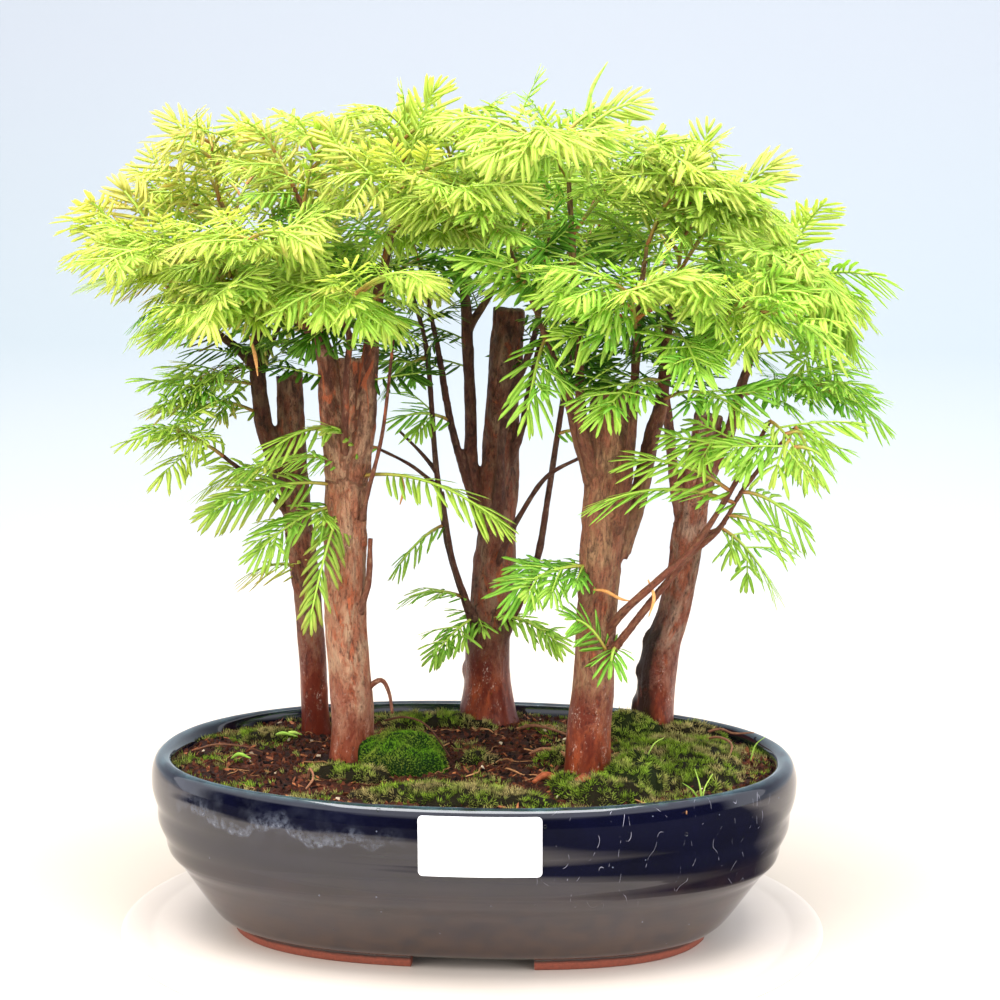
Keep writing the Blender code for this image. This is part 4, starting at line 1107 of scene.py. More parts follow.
@dataclass
class Soil:
    """The soil that fills the pot, with crumbs, chips, grit and thin roots on it."""

    form: PotForm
    earth: Earth
    edge: float = 126.9
    edge_z: float = 69.0
    rise: float = 3.4
    tilt: float = 0.004
    lump: float = 1.3
    clod: float = 1.6
    crumb: float = 0.55
    sunk: float = 0.7
    below: tuple = ((117.5, 26.0), (99.6, 13.0))
    trunk_gap: float = 2.0
    root_steps: int = 6
    sides: int = 168
    rings: int = 60
    roots: int = 96
    seed: int = 11

    def height(self, x: float, y: float) -> float:
        """The soil's height: a low dome, a little higher at the back."""
        reach = (x / self.edge) ** 2 + (y / self.form.half_depth(self.edge)) ** 2
        return self.edge_z + self.rise * max(0.0, 1.0 - reach) * (1.0 + self.tilt * y)

    def lumpy(self, x: float, y: float) -> float:
        """The soil's height with its clods.

        Args:
            x: the place's x.
            y: the place's y.
        Returns:
            The height there.
        """
        lump = swell(x, y, 0.07, 1.0) * self.lump
        clod = abs(swell(x, y, 0.28, 4.0)) * self.clod
        crumb = swell(x, y, 0.75, 9.0) * self.crumb
        return self.height(x, y) + lump + clod + crumb - self.sunk

    def clear_of_trunks(self, x: float, y: float) -> float:
        """1 on open soil, 0 within a trunk.

        Args:
            x: the place's x.
            y: the place's y.
        Returns:
            One of the two.
        """
        for limbs in TREES.values():
            foot = limbs["trunk"][0]
            if math.hypot(x - foot[0], y - foot[1]) < foot[3] + self.trunk_gap:
                return 0.0
        return 1.0

    def ground(self) -> tuple[Mesh, Mesh]:
        """Make the closed body of soil, and its bare top for things to lie on.

        Returns:
            The body's mesh and the top's.
        """
        points = []
        for ring in range(self.rings):
            share = 1.0 - ring / self.rings
            for step in range(self.sides):
                x, y, _ = self.form.place(self.edge, math.tau * step / self.sides, 0.0)
                x, y = x * share, y * share
                z = self.lumpy(x, y)
                if share == 1.0:
                    z = self.edge_z - 0.6
                points.append((x, y, z))
        faces = ring_faces(self.rings, self.sides)
        body = points + [self.form.place(a, math.tau * step / self.sides, z)
                         for a, z in self.below for step in range(self.sides)]
        top = faces[:-2] + [faces[-1]]
        room = [self.clear_of_trunks(x, y) for x, y, _ in points]
        first, size = len(points), self.sides
        walls = band_faces(first, 0, size) + band_faces(first + size, first, size)
        base = tuple(range(first + 2 * size - 1, first + size - 1, -1))
        whole = mesh_of("soil", body, top + walls + [base])
        return whole, mesh_of("soil top", points, top, {"room": room})

    def rootlets(self) -> Mesh:
        """Make thin tan roots that wander over the soil.

        Returns:
            The mesh of them all.
        """
        rng = random.Random(self.seed)
        points, faces = [], []
        for number in range(self.roots):
            x, y = rng.uniform(-98, 98), rng.uniform(-72, 66)
            # Every fourth one is long
            spans, radii = ((6, 16), (0.12, 0.22)) if number % 4 else ((20, 38), (0.22, 0.36))
            turn, span, thick = rng.uniform(0, math.tau), rng.uniform(*spans), rng.uniform(*radii)
            rows = []
            for _ in range(self.root_steps + 1):
                z = self.lumpy(x, y) + 0.5 + rng.uniform(-0.4, 1.0)
                rows.append((x, y, z, thick * rng.uniform(0.8, 1.2)))
                turn += rng.uniform(-0.7, 0.7)
                x += math.cos(turn) * span / self.root_steps
                y += math.sin(turn) * span / self.root_steps
            add_skin(points, faces, *tube(flowing(rows, span / 14), 4)[:2])
        shades = [0.5 + 0.5 * math.sin(at * 0.01) for at in range(len(points))]
        return mesh_of("rootlets", points, faces, {"shade": shades})

    def build(self, tree: NodeTree) -> Mesh:
        """Make the soil and all that lies on it.

        Args:
            tree: the strewing nodes.
        Returns:
            The top of the soil, for moss to grow on.
        """
        whole, top = self.ground()
        whole.materials.append(self.earth.make())
        add_piece("soil_bed", whole, ["soil"])
        peat = Litter("peat crumbs", "#0d0503", "#5a2c1a").make()
        bark = Litter("composted bark chips", "#34140b", "#a8663e", 0.65).make()
        grit = Litter("pumice grit", "#8f7b66", "#d2c2a8", 0.9).make()
        kinds = (
            (Strewn(stone_model(3), 1.9, 0.165, (1.2, 1.2, 1.0), (4.2, 3.4, 3.0), 1.5, 1), peat),
            (Strewn(stone_model(5, 0.4), 5.0, 0.022, (2.0, 1.2, 1.0), (7.5, 3.0, 2.0), 0.8, 2), bark),
            (Strewn(stone_model(8), 9.0, 0.0016, (2.0, 2.0, 1.6), (3.6, 3.2, 2.6), 1.0, 3), grit),
        )
        bits = [kind.over(tree, top, finish) for kind, finish in kinds]
        roots = self.rootlets()
        roots.materials.append(Litter("dry rootlets", "#3e2214", "#a97a52").make())
        add_piece("soil_litter", joined("soil litter", bits + [roots]))
        return top


@dataclass(frozen=True)
class MossFinish:
    """Living moss with bright tips, and its depths painted dark as shade between the shoots."""

    name: str
    deep: str
    tip: str
    dry: str

    def make(self) -> Material:
        """Build the moss's material.

        Returns:
            The material.
        """
        material, tree, shader = bare_finish(self.name)
        place = node(tree, "ShaderNodeTexCoord").outputs["Object"]
        along, own = (node(tree, "ShaderNodeAttribute", attribute_name=name).outputs["Fac"]
                      for name in ("along", "shade"))
        # Drier and yellower in patches 15 mm across
        patch = node(tree, "ShaderNodeTexNoise", {"Vector": place, "Scale": 75.0, "Detail": 3.0})
        wilted = node(tree, "ShaderNodeMapRange", {"Value": patch, "From Min": 0.42, "From Max": 0.60})
        tip = painted(tree, self.tip, ((wilted, self.dry),))
        # Painted shade: the shoots' feet and the cushion under them take the near-black deep colour, and only
        # the tips the bright one
        height = node(tree, "ShaderNodeMath", {0: own, 1: 0.8, 2: 0.2}, operation="MULTIPLY_ADD")
        bright = node(tree, "ShaderNodeMath", {0: along, 1: height}, operation="MULTIPLY")
        fine = node(tree, "ShaderNodeTexNoise", {"Vector": place, "Scale": 1600.0})
        bump = node(tree, "ShaderNodeBump", {"Strength": 0.8, "Distance": 0.0006, "Height": fine})
        feed(tree, shader, {"Base Color": painted(tree, self.deep, ((bright, tip),)), "Roughness": 0.85,
                            "Normal": bump, "Specular IOR Level": 0.15})
        return material


@dataclass
class MossCarpet:
    """The moss: a velvety dome, spiky cushions, and stray tufts on the soil."""

    soil: Soil
    sides: int = 72
    rings: int = 18
    lobed: float = 0.07
    ragged: tuple = ((0.16, 1.4), (0.20, 5.0))
    fullness: float = 0.5
    star_fullness: float = 0.9
    deep: float = 1.2
    thick: float = 1.6
    bare_from: float = 0.5
    bare_contrast: float = 2.1

    def cushion(self, patch: MossPatch) -> Mesh:
        """Make one cushion, lobed as its solid is, with a soft uneven crown.

        Args:
            patch: its place and size.
        Returns:
            The closed cushion.
        """
        points, room = [], []
        for ring in range(self.rings):
            share = 1.0 - ring / self.rings
            for step in range(self.sides):
                turn = math.tau * step / self.sides
                lobe = share * (1.0 + self.lobed * math.sin(patch.lobes * turn + patch.height))
                way = Vector((math.cos(turn), math.sin(turn), patch.height))
                ragged = 1.0 + share * sum(most * noise.noise(way * waves) for most, waves in self.ragged)
                x = patch.centre[0] + lobe * ragged * patch.radii[0] * math.cos(turn)
                y = patch.centre[1] + lobe * ragged * patch.radii[1] * math.sin(turn)
                fullness = self.star_fullness if patch.kind == "star" else self.fullness
                rise = patch.height * max(0.0, 1.0 - share ** 2) ** fullness
                rise *= 1.0 + 0.45 * swell(x, y, 0.12, patch.height)
                rise += 0.9 * swell(x, y, 0.3, 2.0)
                base = self.soil.height(x, y)
                points.append((x, y, base - self.deep if ring == 0 else base + 0.3 + rise))
                grows = 1.3 * swell(x, y, 0.15, 5.0) + 0.45 * (1.0 - share)
                grows = min(1.0, max(0.0, self.bare_from + self.bare_contrast * grows))
                grows = 1.0 if patch.kind == "velvet" else grows
                room.append(self.soil.clear_of_trunks(x, y) * grows)
        first = len(points)
        points += [(x, y, z - self.thick) for x, y, z in points[:self.sides]]
        room += [0.0] * self.sides
        faces = ring_faces(self.rings, self.sides)[:-2]
        faces.append(tuple(range((self.rings - 1) * self.sides, self.rings * self.sides)))
        faces += band_faces(first, 0, self.sides)
        faces.append(tuple(range(first + self.sides - 1, first - 1, -1)))
        return mesh_of("cushion", points, faces, {"room": room, "along": [0.0] * len(points)})

    def build(self, tree: NodeTree, top: Mesh) -> None:
        """Make every cushion over its solid, and the stray tufts.

        Args:
            tree: the strewing nodes.
            top: the top of the soil.
        """
        star = MossFinish("star moss", "#151105", "#a0c438", "#d8c47c").make()
        plush = tuft_model(5, 0.17, 0.55, 4)
        spiky = tuft_model(6, 0.14, 0.95, 6)
        kinds = {
            "velvet": (Strewn(plush, 0.62, 2.7, (0.7, 0.7, 0.8), (1.2, 1.2, 1.4), 0.4, 0),
                       MossFinish("velvet moss", "#0e2206", "#7cb422", "#a2b440").make()),
            "star": (Strewn(spiky, 1.3, 0.70, (1.2, 1.2, 1.1), (2.9, 2.9, 3.4), 0.55, 1), star),
            "fresh": (Strewn(spiky, 1.2, 0.80, (1.2, 1.2, 1.1), (2.7, 2.7, 3.2), 0.55, 2),
                      MossFinish("fresh star moss", "#141a05", "#aed642", "#d2c670").make()),
        }
        grown_over = []
        for patch in tuple(MOSSES.values()) + CLUMPS:
            way, finish = kinds[patch.kind]
            grown_over.append(way.over(tree, self.cushion(patch), finish, keep_ground=True))
        for name, mesh in zip(MOSSES, grown_over):
            add_piece(name.replace("moss", "mossy"), mesh, [name])
        add_piece("mossy_clumps", joined("mossy clumps", grown_over[len(MOSSES):]))
        stray = top.copy()
        places = [vertex.co / MM for vertex in stray.vertices]
        thick = [max(0.0, swell(p.x, p.y, 0.045, 7.0) * 1.6 - 0.12
                     + 0.5 * (math.hypot(p.x / 118.0, p.y / 86.0) > 0.93))
                 * self.soil.clear_of_trunks(p.x, p.y) for p in places]
        stray.attributes["room"].data.foreach_set("value", thick)
        way = Strewn(spiky, 1.5, 0.45, (1.4, 1.4, 1.2), (2.8, 2.8, 3.2), 0.5, 31)
        add_piece("stray_moss", way.over(tree, stray, star))


@dataclass(frozen=True)
class Bark:
    """Dawn redwood bark: thin, fibrous and red-brown, splitting lengthways in narrow plates.

    The plates weather to tan and grey, the splits stay dark, and where a plate has peeled the
    fresh bark is orange.  Near the soil it is smooth, dark red and damp.
    """

    name: str
    plate: str
    weathered: str
    split: str
    fresh: str
    young: str = "#6a3626"
    green: str = "#a5854c"
    base: str = "#561c0e"
    wet: str = "#481206"
    glow: str = "#93401c"
    lime: str = "#cbb6a6"
    # soot: dark flecks in the damp bark, and the painted shade on the left side
    soot_and_shade: str = "#211410"
    painted_left_shade: float = 0.0
    torn_and_shaded: float = 0.0
    scurfy: float = 0.45
    damp_top: float = 0.124

    def make(self) -> Material:
        """Build the bark's material.

        Returns:
            The material.
        """
        material, tree, shader = bare_finish(self.name)
        place = node(tree, "ShaderNodeTexCoord").outputs["Object"]
        facing = node(tree, "ShaderNodeTexCoord").outputs["Normal"]
        grain = node(tree, "ShaderNodeAttribute", attribute_name="grain").outputs["Vector"]
        thick, cut = (node(tree, "ShaderNodeAttribute", attribute_name=name).outputs["Fac"]
                      for name in ("thick", "cut"))
        height = node(tree, "ShaderNodeSeparateXYZ", {0: place}).outputs[2]
        leftward = node(tree, "ShaderNodeSeparateXYZ", {0: facing})
        # Waves a millimetre across and along the grain, detail, and how much each wanders
        waves = {}
        for name, (across, along, detail, wander) in {
                "cloud": (0.10, 0.05, 6.0, 0.6), "bare": (0.16, 0.06, 6.0, 0.8),
                "fleck": (0.75, 0.34, 6.0, 0.3), "ridge": (0.42, 0.07, 4.0, 0.8),
                "scurf": (0.30, 0.14, 7.0, 0.4), "scale": (1.3, 0.8, 5.0, 0.3)}.items():
            way = node(tree, "ShaderNodeMapping", {"Vector": grain, "Scale": (across, across, along)})
            waves[name] = node(tree, "ShaderNodeTexNoise", {
                "Vector": way, "Scale": 1.0, "Detail": detail, "Roughness": 0.66,
                "Distortion": wander})
        middle = node(tree, "ShaderNodeMath", {0: waves["ridge"], 1: 0.5}, operation="SUBTRACT")
        apart = node(tree, "ShaderNodeMath", {0: middle}, operation="ABSOLUTE")
        soaked = node(tree, "ShaderNodeMath", {0: waves["cloud"], 1: 0.06, 2: height},
                      operation="MULTIPLY_ADD")
        damp = shown(tree, Band(soaked, self.damp_top + 0.030, self.damp_top, 0.9), Band(thick, 0.3, 0.6))
        # Weathered grey-tan in clouds 20 mm across, twigs smoother and darker than trunks, and fresh
        # orange bark where a plate has come off
        peeled = shown(tree, Band(waves["bare"], 0.58, 0.64, 0.85), Band(thick, 0.0, 1.0))
        marks = (
            (shown(tree, Band(waves["cloud"], 0.44, 0.58, 0.9)), self.weathered),
            (shown(tree, Band(thick, 0.8, 0.15, 0.8)), self.young),
            (peeled, self.fresh),
            (shown(tree, Band(thick, 0.30, 0.10), Band(height, 0.245, 0.285, 0.85)), self.green),
            # Dark scurf 5 mm across, flecks a millimetre or two long, and splits 3 to 5 mm apart
            (shown(tree, Band(waves["scurf"], 0.46, 0.36, self.scurfy)), self.split),
            (shown(tree, Band(waves["fleck"], 0.45, 0.35, 0.75)), self.split),
            (shown(tree, Band(waves["fleck"], 0.54, 0.66, 0.6)), self.weathered),
            (shown(tree, Band(apart, 0.016, 0.0, 0.8), Band(thick, 0.0, 1.0), Band(height, 0.13, 0.17)),
             self.split),
            # Painted shade of the crown high up, over rougher bark, torn there with fresh bark showing
            (shown(tree, Band(waves["scurf"], 0.60, 0.42),
                   Band(height, 0.170, 0.225, 0.5 + 0.45 * self.torn_and_shaded)), self.split),
            (shown(tree, Band(waves["bare"], 0.54, 0.60), Band(height, 0.195, 0.225, self.torn_and_shaded)), self.fresh),
            # Damp, smooth, dark and red above the soil, with a little dried lime on it
            (damp, self.base),
            (shown(tree, Band(damp, 0.2, 0.9), Band(waves["cloud"], 0.46, 0.62, 0.55)), self.glow),
            (shown(tree, Band(soaked, self.damp_top - 0.002, self.damp_top - 0.022, 0.75),
                   Band(thick, 0.3, 0.6)), self.wet),
            (shown(tree, Band(damp, 0.3, 0.9), Band(waves["fleck"], 0.46, 0.36, 0.5)), self.soot_and_shade),
            (shown(tree, Band(waves["scale"], 0.54, 0.68, 0.7), Band(waves["scurf"], 0.50, 0.62),
                   Band(damp, 0.0, 0.9), Band(soaked, 0.094, 0.112)), self.lime),
            # Painted shade: darker, patchy bark low on the side turned to the left, away from the light
            (shown(tree, Band(waves["scurf"], 0.28, 0.42), Band(leftward, 0.15, -0.30, self.painted_left_shade),
                   Band(height, 0.142, 0.116)), self.soot_and_shade),
            (cut, self.weathered),
        )
        gloss = node(tree, "ShaderNodeMapRange", {"Value": damp, "To Min": 0.68, "To Max": 0.27})
        dry = Band(damp, 0.9, 0.0)
        bump = None
        for measure, high in ((shown(tree, Band(apart, 0.0, 0.035), Band(thick, 0.0, 1.0), dry), 0.0007),
                              (shown(tree, Band(waves["fleck"], 0.3, 0.7), dry), 0.0007),
                              (shown(tree, Band(waves["scurf"], 0.35, 0.6), dry), 0.0008),
                              (shown(tree, Band(waves["bare"], 0.64, 0.60), Band(thick, 0.0, 1.0)), 0.0006)):
            under = {} if bump is None else {"Normal": bump}
            bump = node(tree, "ShaderNodeBump", {"Strength": 0.7, "Distance": high, "Height": measure,
                                                 **under})
        feed(tree, shader, {"Base Color": painted(tree, self.plate, marks), "Roughness": gloss,
                            "Normal": bump, "Specular IOR Level": 0.45})
        return material


class Knot(NamedTuple):
    """A lump or a hollow on a trunk: its height, its turn, how wide it is and how high it stands."""

    height: float
    turn: float
    width: float
    stand: float


@dataclass
class Tree:
    """One tree's wood: a cut-off trunk, its limbs grown into it, and its twigs."""

    name: str
    bark: Bark
    seed: int
    slant: float = 0.0
    flare: float = 0.12
    fissure: float = 0.8
    lumps: float = 0.6
    knots: tuple = ()
    voxel: float = 1.2
    thinnest: float = 1.95
    twig_thick: float = 0.15
    soil_z: float = 70.0
    trunk_sides: int = 20
    twig_sides: int = 8
    flare_height: float = 8.0
    collar: float = 0.45
    twig_collar: float = 0.5
    twig_wobble: float = 0.22
    plate_height: float = 0.40
    fissure_width: float = 0.16
    smooth_to: float = 105.0
    cut_reach: float = 1.25
    # How far the bark's pattern moves on from limb to limb, and for each letter of a twig's name
    limb_shift: float = 61.0
    twig_shift: float = 17.0
    block: int = 4000

    def lines(self) -> list[np.ndarray]:
        """Draw the smooth middle line of each limb that grows into the trunk, trunk first.

        Returns:
            Rows of x, y, z and radius for each limb.
        """
        lines = []
        for name, limb in TREES[self.name].items():
            if limb[0][3] < self.thinnest:
                continue
            line = flowing(limb, 1.0)
            if name == "trunk":
                line[:, 3] *= 1.0 + self.flare * np.exp(
                    -np.maximum(line[:, 2] - self.soil_z, 0.0) / self.flare_height)
            else:
                run = np.linalg.norm(line[:, :3] - line[0, :3], axis=1)
                line[:, 3] *= 1.0 + self.collar * np.exp(-run / (2.0 * line[0, 3]))
            lines.append(line)
        return lines

    def fused(self, lines: Sequence[np.ndarray]) -> Mesh:
        """Grow trunk and limbs into one skin.

        Args:
            lines: their middle lines.
        Returns:
            One closed mesh, in metres.
        """
        points, faces = [], []
        for line in lines:
            add_skin(points, faces, *tube(line, self.trunk_sides)[:2])
        guide = in_scene(mesh_of(self.name, points, faces))
        skin = guide.modifiers.new("Skin", "REMESH")
        skin.mode, skin.voxel_size = "VOXEL", self.voxel * MM
        soft = guide.modifiers.new("Soften", "SMOOTH")
        soft.factor, soft.iterations = 0.5, 3
        return settled(guide)

    def mapped(self, corners: np.ndarray, lines: Sequence[np.ndarray]) -> tuple[np.ndarray, ...]:
        """Find where each corner lies on the bark.

        Args:
            corners: rows of x, y, z.
            lines: the limbs' middle lines.
        Returns:
            Its place on the bark, how thick the limb is there, and how near it is to the cut.
        """
        parts = []
        for number, line in enumerate(lines):
            ahead, side, top = frames(line)
            parts.append((line, side, top, ahead, run_along(line) + self.limb_shift * number))
        line, side, top, ahead, run = (np.concatenate(part) for part in zip(*parts))
        nearest = np.empty(len(corners), dtype=int)
        square = (line[:, :3] ** 2).sum(axis=1)
        for first in range(0, len(corners), self.block):
            block = corners[first:first + self.block]
            apart = (block ** 2).sum(axis=1)[:, None] + square - 2.0 * block @ line[:, :3].T
            nearest[first:first + self.block] = (np.sqrt(np.maximum(apart, 0.0)) - line[:, 3]).argmin(axis=1)
        away = corners - line[nearest, :3]
        across, upward = (away * side[nearest]).sum(axis=1), (away * top[nearest]).sum(axis=1)
        length = np.maximum(np.hypot(across, upward), 1e-6)
        radius = line[nearest, 3]
        grain = np.stack([across / length * radius, upward / length * radius,
                          run[nearest] + (away * ahead[nearest]).sum(axis=1)], axis=1)
        end = lines[0][-1]
        over = ((corners - end[:3]) * frames(lines[0])[0][-1]).sum(axis=1)
        near = np.linalg.norm(corners - end[:3], axis=1) < end[3] * self.cut_reach
        cut = np.where(near & (over > -0.8), 1.0, 0.0)
        return grain, np.clip((radius - 1.0) / 6.0, 0.0, 1.0), cut

    def rough(self, corners: np.ndarray, normals: np.ndarray, grain: np.ndarray,
              thick: np.ndarray) -> np.ndarray:
        """Move each corner out or in, for lumps, splits, plates and knots.

        Args:
            corners: rows of x, y, z.
            normals: the way out at each.
            grain: its place on the bark.
            thick: how thick the limb is there, from 0 to 1.
        Returns:
            The moved corners.
        """
        moved = np.array(corners)
        foot = TREES[self.name]["trunk"][0]
        for at, (g, n, t) in enumerate(zip(grain, normals, thick)):
            lump = noise.noise(Vector((g[0] * 0.13, g[1] * 0.13, g[2] * 0.05 + self.seed)))
            split = abs(noise.noise(Vector((g[0] * 0.30, g[1] * 0.30, g[2] * 0.035 + self.seed * 3))))
            plate = noise.noise(Vector((g[0] * 0.45, g[1] * 0.45, g[2] * 0.20 + self.seed * 5)))
            height = corners[at][2]
            dry = min(1.0, max(0.15, (height - self.smooth_to) / 50.0))
            push = (0.25 + 0.75 * t) * (self.lumps * lump + self.plate_height * plate * dry)
            push -= self.fissure * dry * t * max(0.0, 1.0 - split / self.fissure_width)
            near_soil = math.exp(-max(height - self.soil_z, 0.0) / 7.0)
            turn = math.atan2(corners[at][1] - foot[1], corners[at][0] - foot[0])
            push += 2.5 * self.flare * near_soil * t * math.sin(4.0 * turn + self.seed)
            for knot in self.knots:
                aside = math.remainder(turn - knot.turn, math.tau) * foot[3]
                gap = math.hypot(aside, height - knot.height) / knot.width
                if gap < 2.5:
                    push += t * knot.stand * (math.exp(-gap ** 2) - 0.5 * math.exp(-(gap * 2.4) ** 2))
            moved[at] += n * push
        return moved

    def build(self) -> None:
        """Make the tree's wood over its solid."""
        lines = self.lines()
        skin = self.fused(lines)
        count = len(skin.vertices)
        corners = np.empty(count * 3)
        skin.vertices.foreach_get("co", corners)
        corners = corners.reshape(-1, 3) / MM
        normals = np.empty(count * 3, dtype=np.float32)
        skin.vertices.foreach_get("normal", normals)
        grain, thick, cut = self.mapped(corners, lines)
        moved = self.rough(corners, normals.reshape(-1, 3), grain, thick)
        end = lines[0][-1]
        moved[:, 2] += cut * self.slant * (moved[:, 0] - end[0])
        points, faces = moved.tolist(), [tuple(face.vertices) for face in skin.polygons]
        grains, thicks, cuts = grain.tolist(), thick.tolist(), cut.tolist()
        for name, limb in TREES[self.name].items():
            if limb[0][3] >= self.thinnest:
                continue
            line = flowing(limb, 1.6)
            run = np.linalg.norm(line[:, :3] - line[0, :3], axis=1)
            wobble = np.array([noise.noise(Vector((r * 0.16, len(name), self.seed))) for r in run])
            line[:, 3] *= 1.0 + self.twig_collar * np.exp(-run / 3.0) + self.twig_wobble * wobble
            corners, skin, place = tube(line, self.twig_sides)
            add_skin(points, faces, corners, skin)
            grains += (place + (0.0, 0.0, self.twig_shift * len(name))).tolist()
            thicks += [self.twig_thick] * len(place)
            cuts += [0.0] * len(place)
        mesh = mesh_of(self.name, points, faces, {"grain": grains, "thick": thicks, "cut": cuts})
        mesh.materials.append(self.bark.make())
        add_piece(self.name + "_bark", mesh, [self.name + "_wood"])


@dataclass(frozen=True)
class Needles:
    """Soft young dawn redwood needles, thin enough for light to come through.

    Their colour paints sun and shade: yellow and lime green where the light falls, a deeper green
    painted in the shade of the crown, and a warm blush on the newest tips.
    """

    deep: str = "#558c26"
    shaded: str = "#a4e25a"
    lime: str = "#d8f472"
    yellow: str = "#f6f48e"
    blush: str = "#f2a684"

    def make(self) -> Material:
        """Build the needles' material.

        Returns:
            The material.
        """
        material, tree, shader = bare_finish("soft redwood needles")
        tone, along, blush = (node(tree, "ShaderNodeAttribute", attribute_name=name).outputs["Fac"]
                              for name in ("tone", "along", "blush"))
        # The tone paints light and shade: deep and shaded green in the shade, lime and yellow in the sun
        colour = node(tree, "ShaderNodeValToRGB", {0: tone}, stops=(
            (0.0, self.deep), (0.22, self.shaded), (0.52, self.lime), (1.0, self.yellow)))
        tips = node(tree, "ShaderNodeMath", {0: along, 1: blush}, operation="MULTIPLY")
        colour = painted(tree, colour, ((tips, self.blush),))
        feed(tree, shader, {"Base Color": colour, "Roughness": 0.55, "Specular IOR Level": 0.2})
        glow = node(tree, "ShaderNodeBsdfTranslucent", {"Color": colour})
        both = node(tree, "ShaderNodeMixShader", {0: 0.50, 1: shader, 2: glow})
        feed(tree, tree.nodes["Material Output"], {"Surface": both})
        return material


@dataclass(frozen=True)
class Twiglets:
    """The leafy ribs: pale green and soft at first, and orange-tan where they turn woody."""

    soft: str = "#9dbb46"
    woody: str = "#9a5b34"

    def make(self) -> Material:
        """Build the ribs' material.

        Returns:
            The material.
        """
        material, tree, shader = bare_finish("green twiglets")
        woody = node(tree, "ShaderNodeAttribute", attribute_name="woody").outputs["Fac"]
        feed(tree, shader, {"Base Color": painted(tree, self.soft, ((woody, self.woody),)),
                            "Roughness": 0.55})
        return material


def needle_model() -> Mesh:
    """Make one needle, a unit long and a unit wide: a flat blade, keeled below, with a blunt tip.

    Returns:
        The needle's mesh.
    """
    rows = ((0.0, 0.36), (0.42, 1.0), (0.88, 0.78))
    points, along = [], []
    for y, width in rows:
        half, deep = width / 2, 0.11 * width
        points += [(-half, y, 0.0), (0.0, y, -deep), (half, y, 0.0)]
        along += [y] * 3
    points.append((0.0, 1.0, 0.0))
    along.append(1.0)
    faces = ring_faces(len(rows), 3)[:-1]
    last = 3 * (len(rows) - 1)
    faces += [(last + step, last + (step + 1) % 3, last + 3) for step in range(3)]
    return turned_outwards(mesh_of("needle", np.array(points) / MM, faces, {"along": along}))


def leafing() -> NodeTree:
    """Build the Geometry Nodes that turn bare ribs into fronds.

    Each corner of a rib holds one pair of needles, and says which way the rib runs and faces
    there, how long and how wide the pair is, how far it leans and bows, and its colour.

    Returns:
        The node tree.
    """
    tree, given = new_tree("Leafy ribs", {
        "Needle": "NodeSocketObject", "Rib sides": "NodeSocketInt", "Unevenness": "NodeSocketFloat",
        "Seed": "NodeSocketInt", "Rib finish": "NodeSocketMaterial",
        "Needle finish": "NodeSocketMaterial"})
    held = {name: node(tree, "GeometryNodeInputNamedAttribute", {0: name}, data_type=kind)
            for kind, names in (("FLOAT_VECTOR", ("ahead", "upper", "bow")),
                                ("FLOAT", ("radius", "reach", "width", "out", "on", "droop", "along")))
            for name in names}
    ahead, upper, along = held["ahead"], held["upper"], held["along"]
    ring = node(tree, "GeometryNodeCurvePrimitiveCircle", {"Resolution": given["Rib sides"], "Radius": 1.0})
    lines = node(tree, "GeometryNodeMeshToCurve", {0: given["Base"]})
    ribs = node(tree, "GeometryNodeCurveToMesh", {
        "Curve": lines, "Profile Curve": ring, "Scale": held["radius"], "Fill Caps": True})
    ribs = node(tree, "GeometryNodeSetShadeSmooth", {0: ribs})
    ribs = node(tree, "GeometryNodeSetMaterial", {0: ribs, 2: given["Rib finish"]})
    aside = node(tree, "ShaderNodeVectorMath", {0: ahead, 1: upper}, operation="CROSS_PRODUCT")
    model = node(tree, "GeometryNodeObjectInfo", {0: given["Needle"]}).outputs["Geometry"]
    leafy = node(tree, "FunctionNodeCompare", {0: held["reach"], 1: 0.0}, data_type="FLOAT",
                 operation="GREATER_THAN")
    size = node(tree, "ShaderNodeCombineXYZ", {0: held["width"], 1: held["reach"], 2: held["width"]})
    both = node(tree, "GeometryNodeJoinGeometry")
    for hand in (-1, 1):
        seed = node(tree, "ShaderNodeMath", {0: given["Seed"], 1: float(hand)}, operation="ADD")
        stray = node(tree, "FunctionNodeRandomValue", {0: (-1.0,) * 3, 1: (1.0,) * 3, 8: seed},
                     data_type="FLOAT_VECTOR")
        out = node(tree, "ShaderNodeMath", {0: held["out"], 1: float(hand)}, operation="MULTIPLY")
        way = node(tree, "ShaderNodeVectorMath", {0: aside, "Scale": out}, operation="SCALE")
        for part, amount, sign in ((ahead, held["on"], "ADD"), (stray, given["Unevenness"], "ADD"),
                                   (upper, held["droop"], "SUBTRACT")):
            part = node(tree, "ShaderNodeVectorMath", {0: part, "Scale": amount}, operation="SCALE")
            way = node(tree, "ShaderNodeVectorMath", {0: way, 1: part}, operation=sign)
        turn = node(tree, "FunctionNodeAxesToRotation", {0: way, 1: upper}, primary_axis="Y",
                    secondary_axis="Z")
        pairs = node(tree, "GeometryNodeInstanceOnPoints", {
            "Points": given["Base"], "Selection": leafy, "Instance": model, "Rotation": turn,
            "Scale": size})
        feed(tree, both, {0: pairs})
    leaves = node(tree, "GeometryNodeRealizeInstances", {0: both})
    curve = node(tree, "ShaderNodeMath", {0: along, 1: along}, operation="MULTIPLY")
    bowed = node(tree, "ShaderNodeVectorMath", {0: held["bow"], "Scale": curve}, operation="SCALE")
    leaves = node(tree, "GeometryNodeSetPosition", {0: leaves, "Offset": bowed})
    leaves = node(tree, "GeometryNodeSetMaterial", {0: leaves, 2: given["Needle finish"]})
    whole = node(tree, "GeometryNodeJoinGeometry")
    for part in (leaves, ribs):
        feed(tree, whole, {0: part})
    real = node(tree, "GeometryNodeRealizeInstances", {0: whole})
    node(tree, "NodeGroupOutput", {0: real})
    return tree


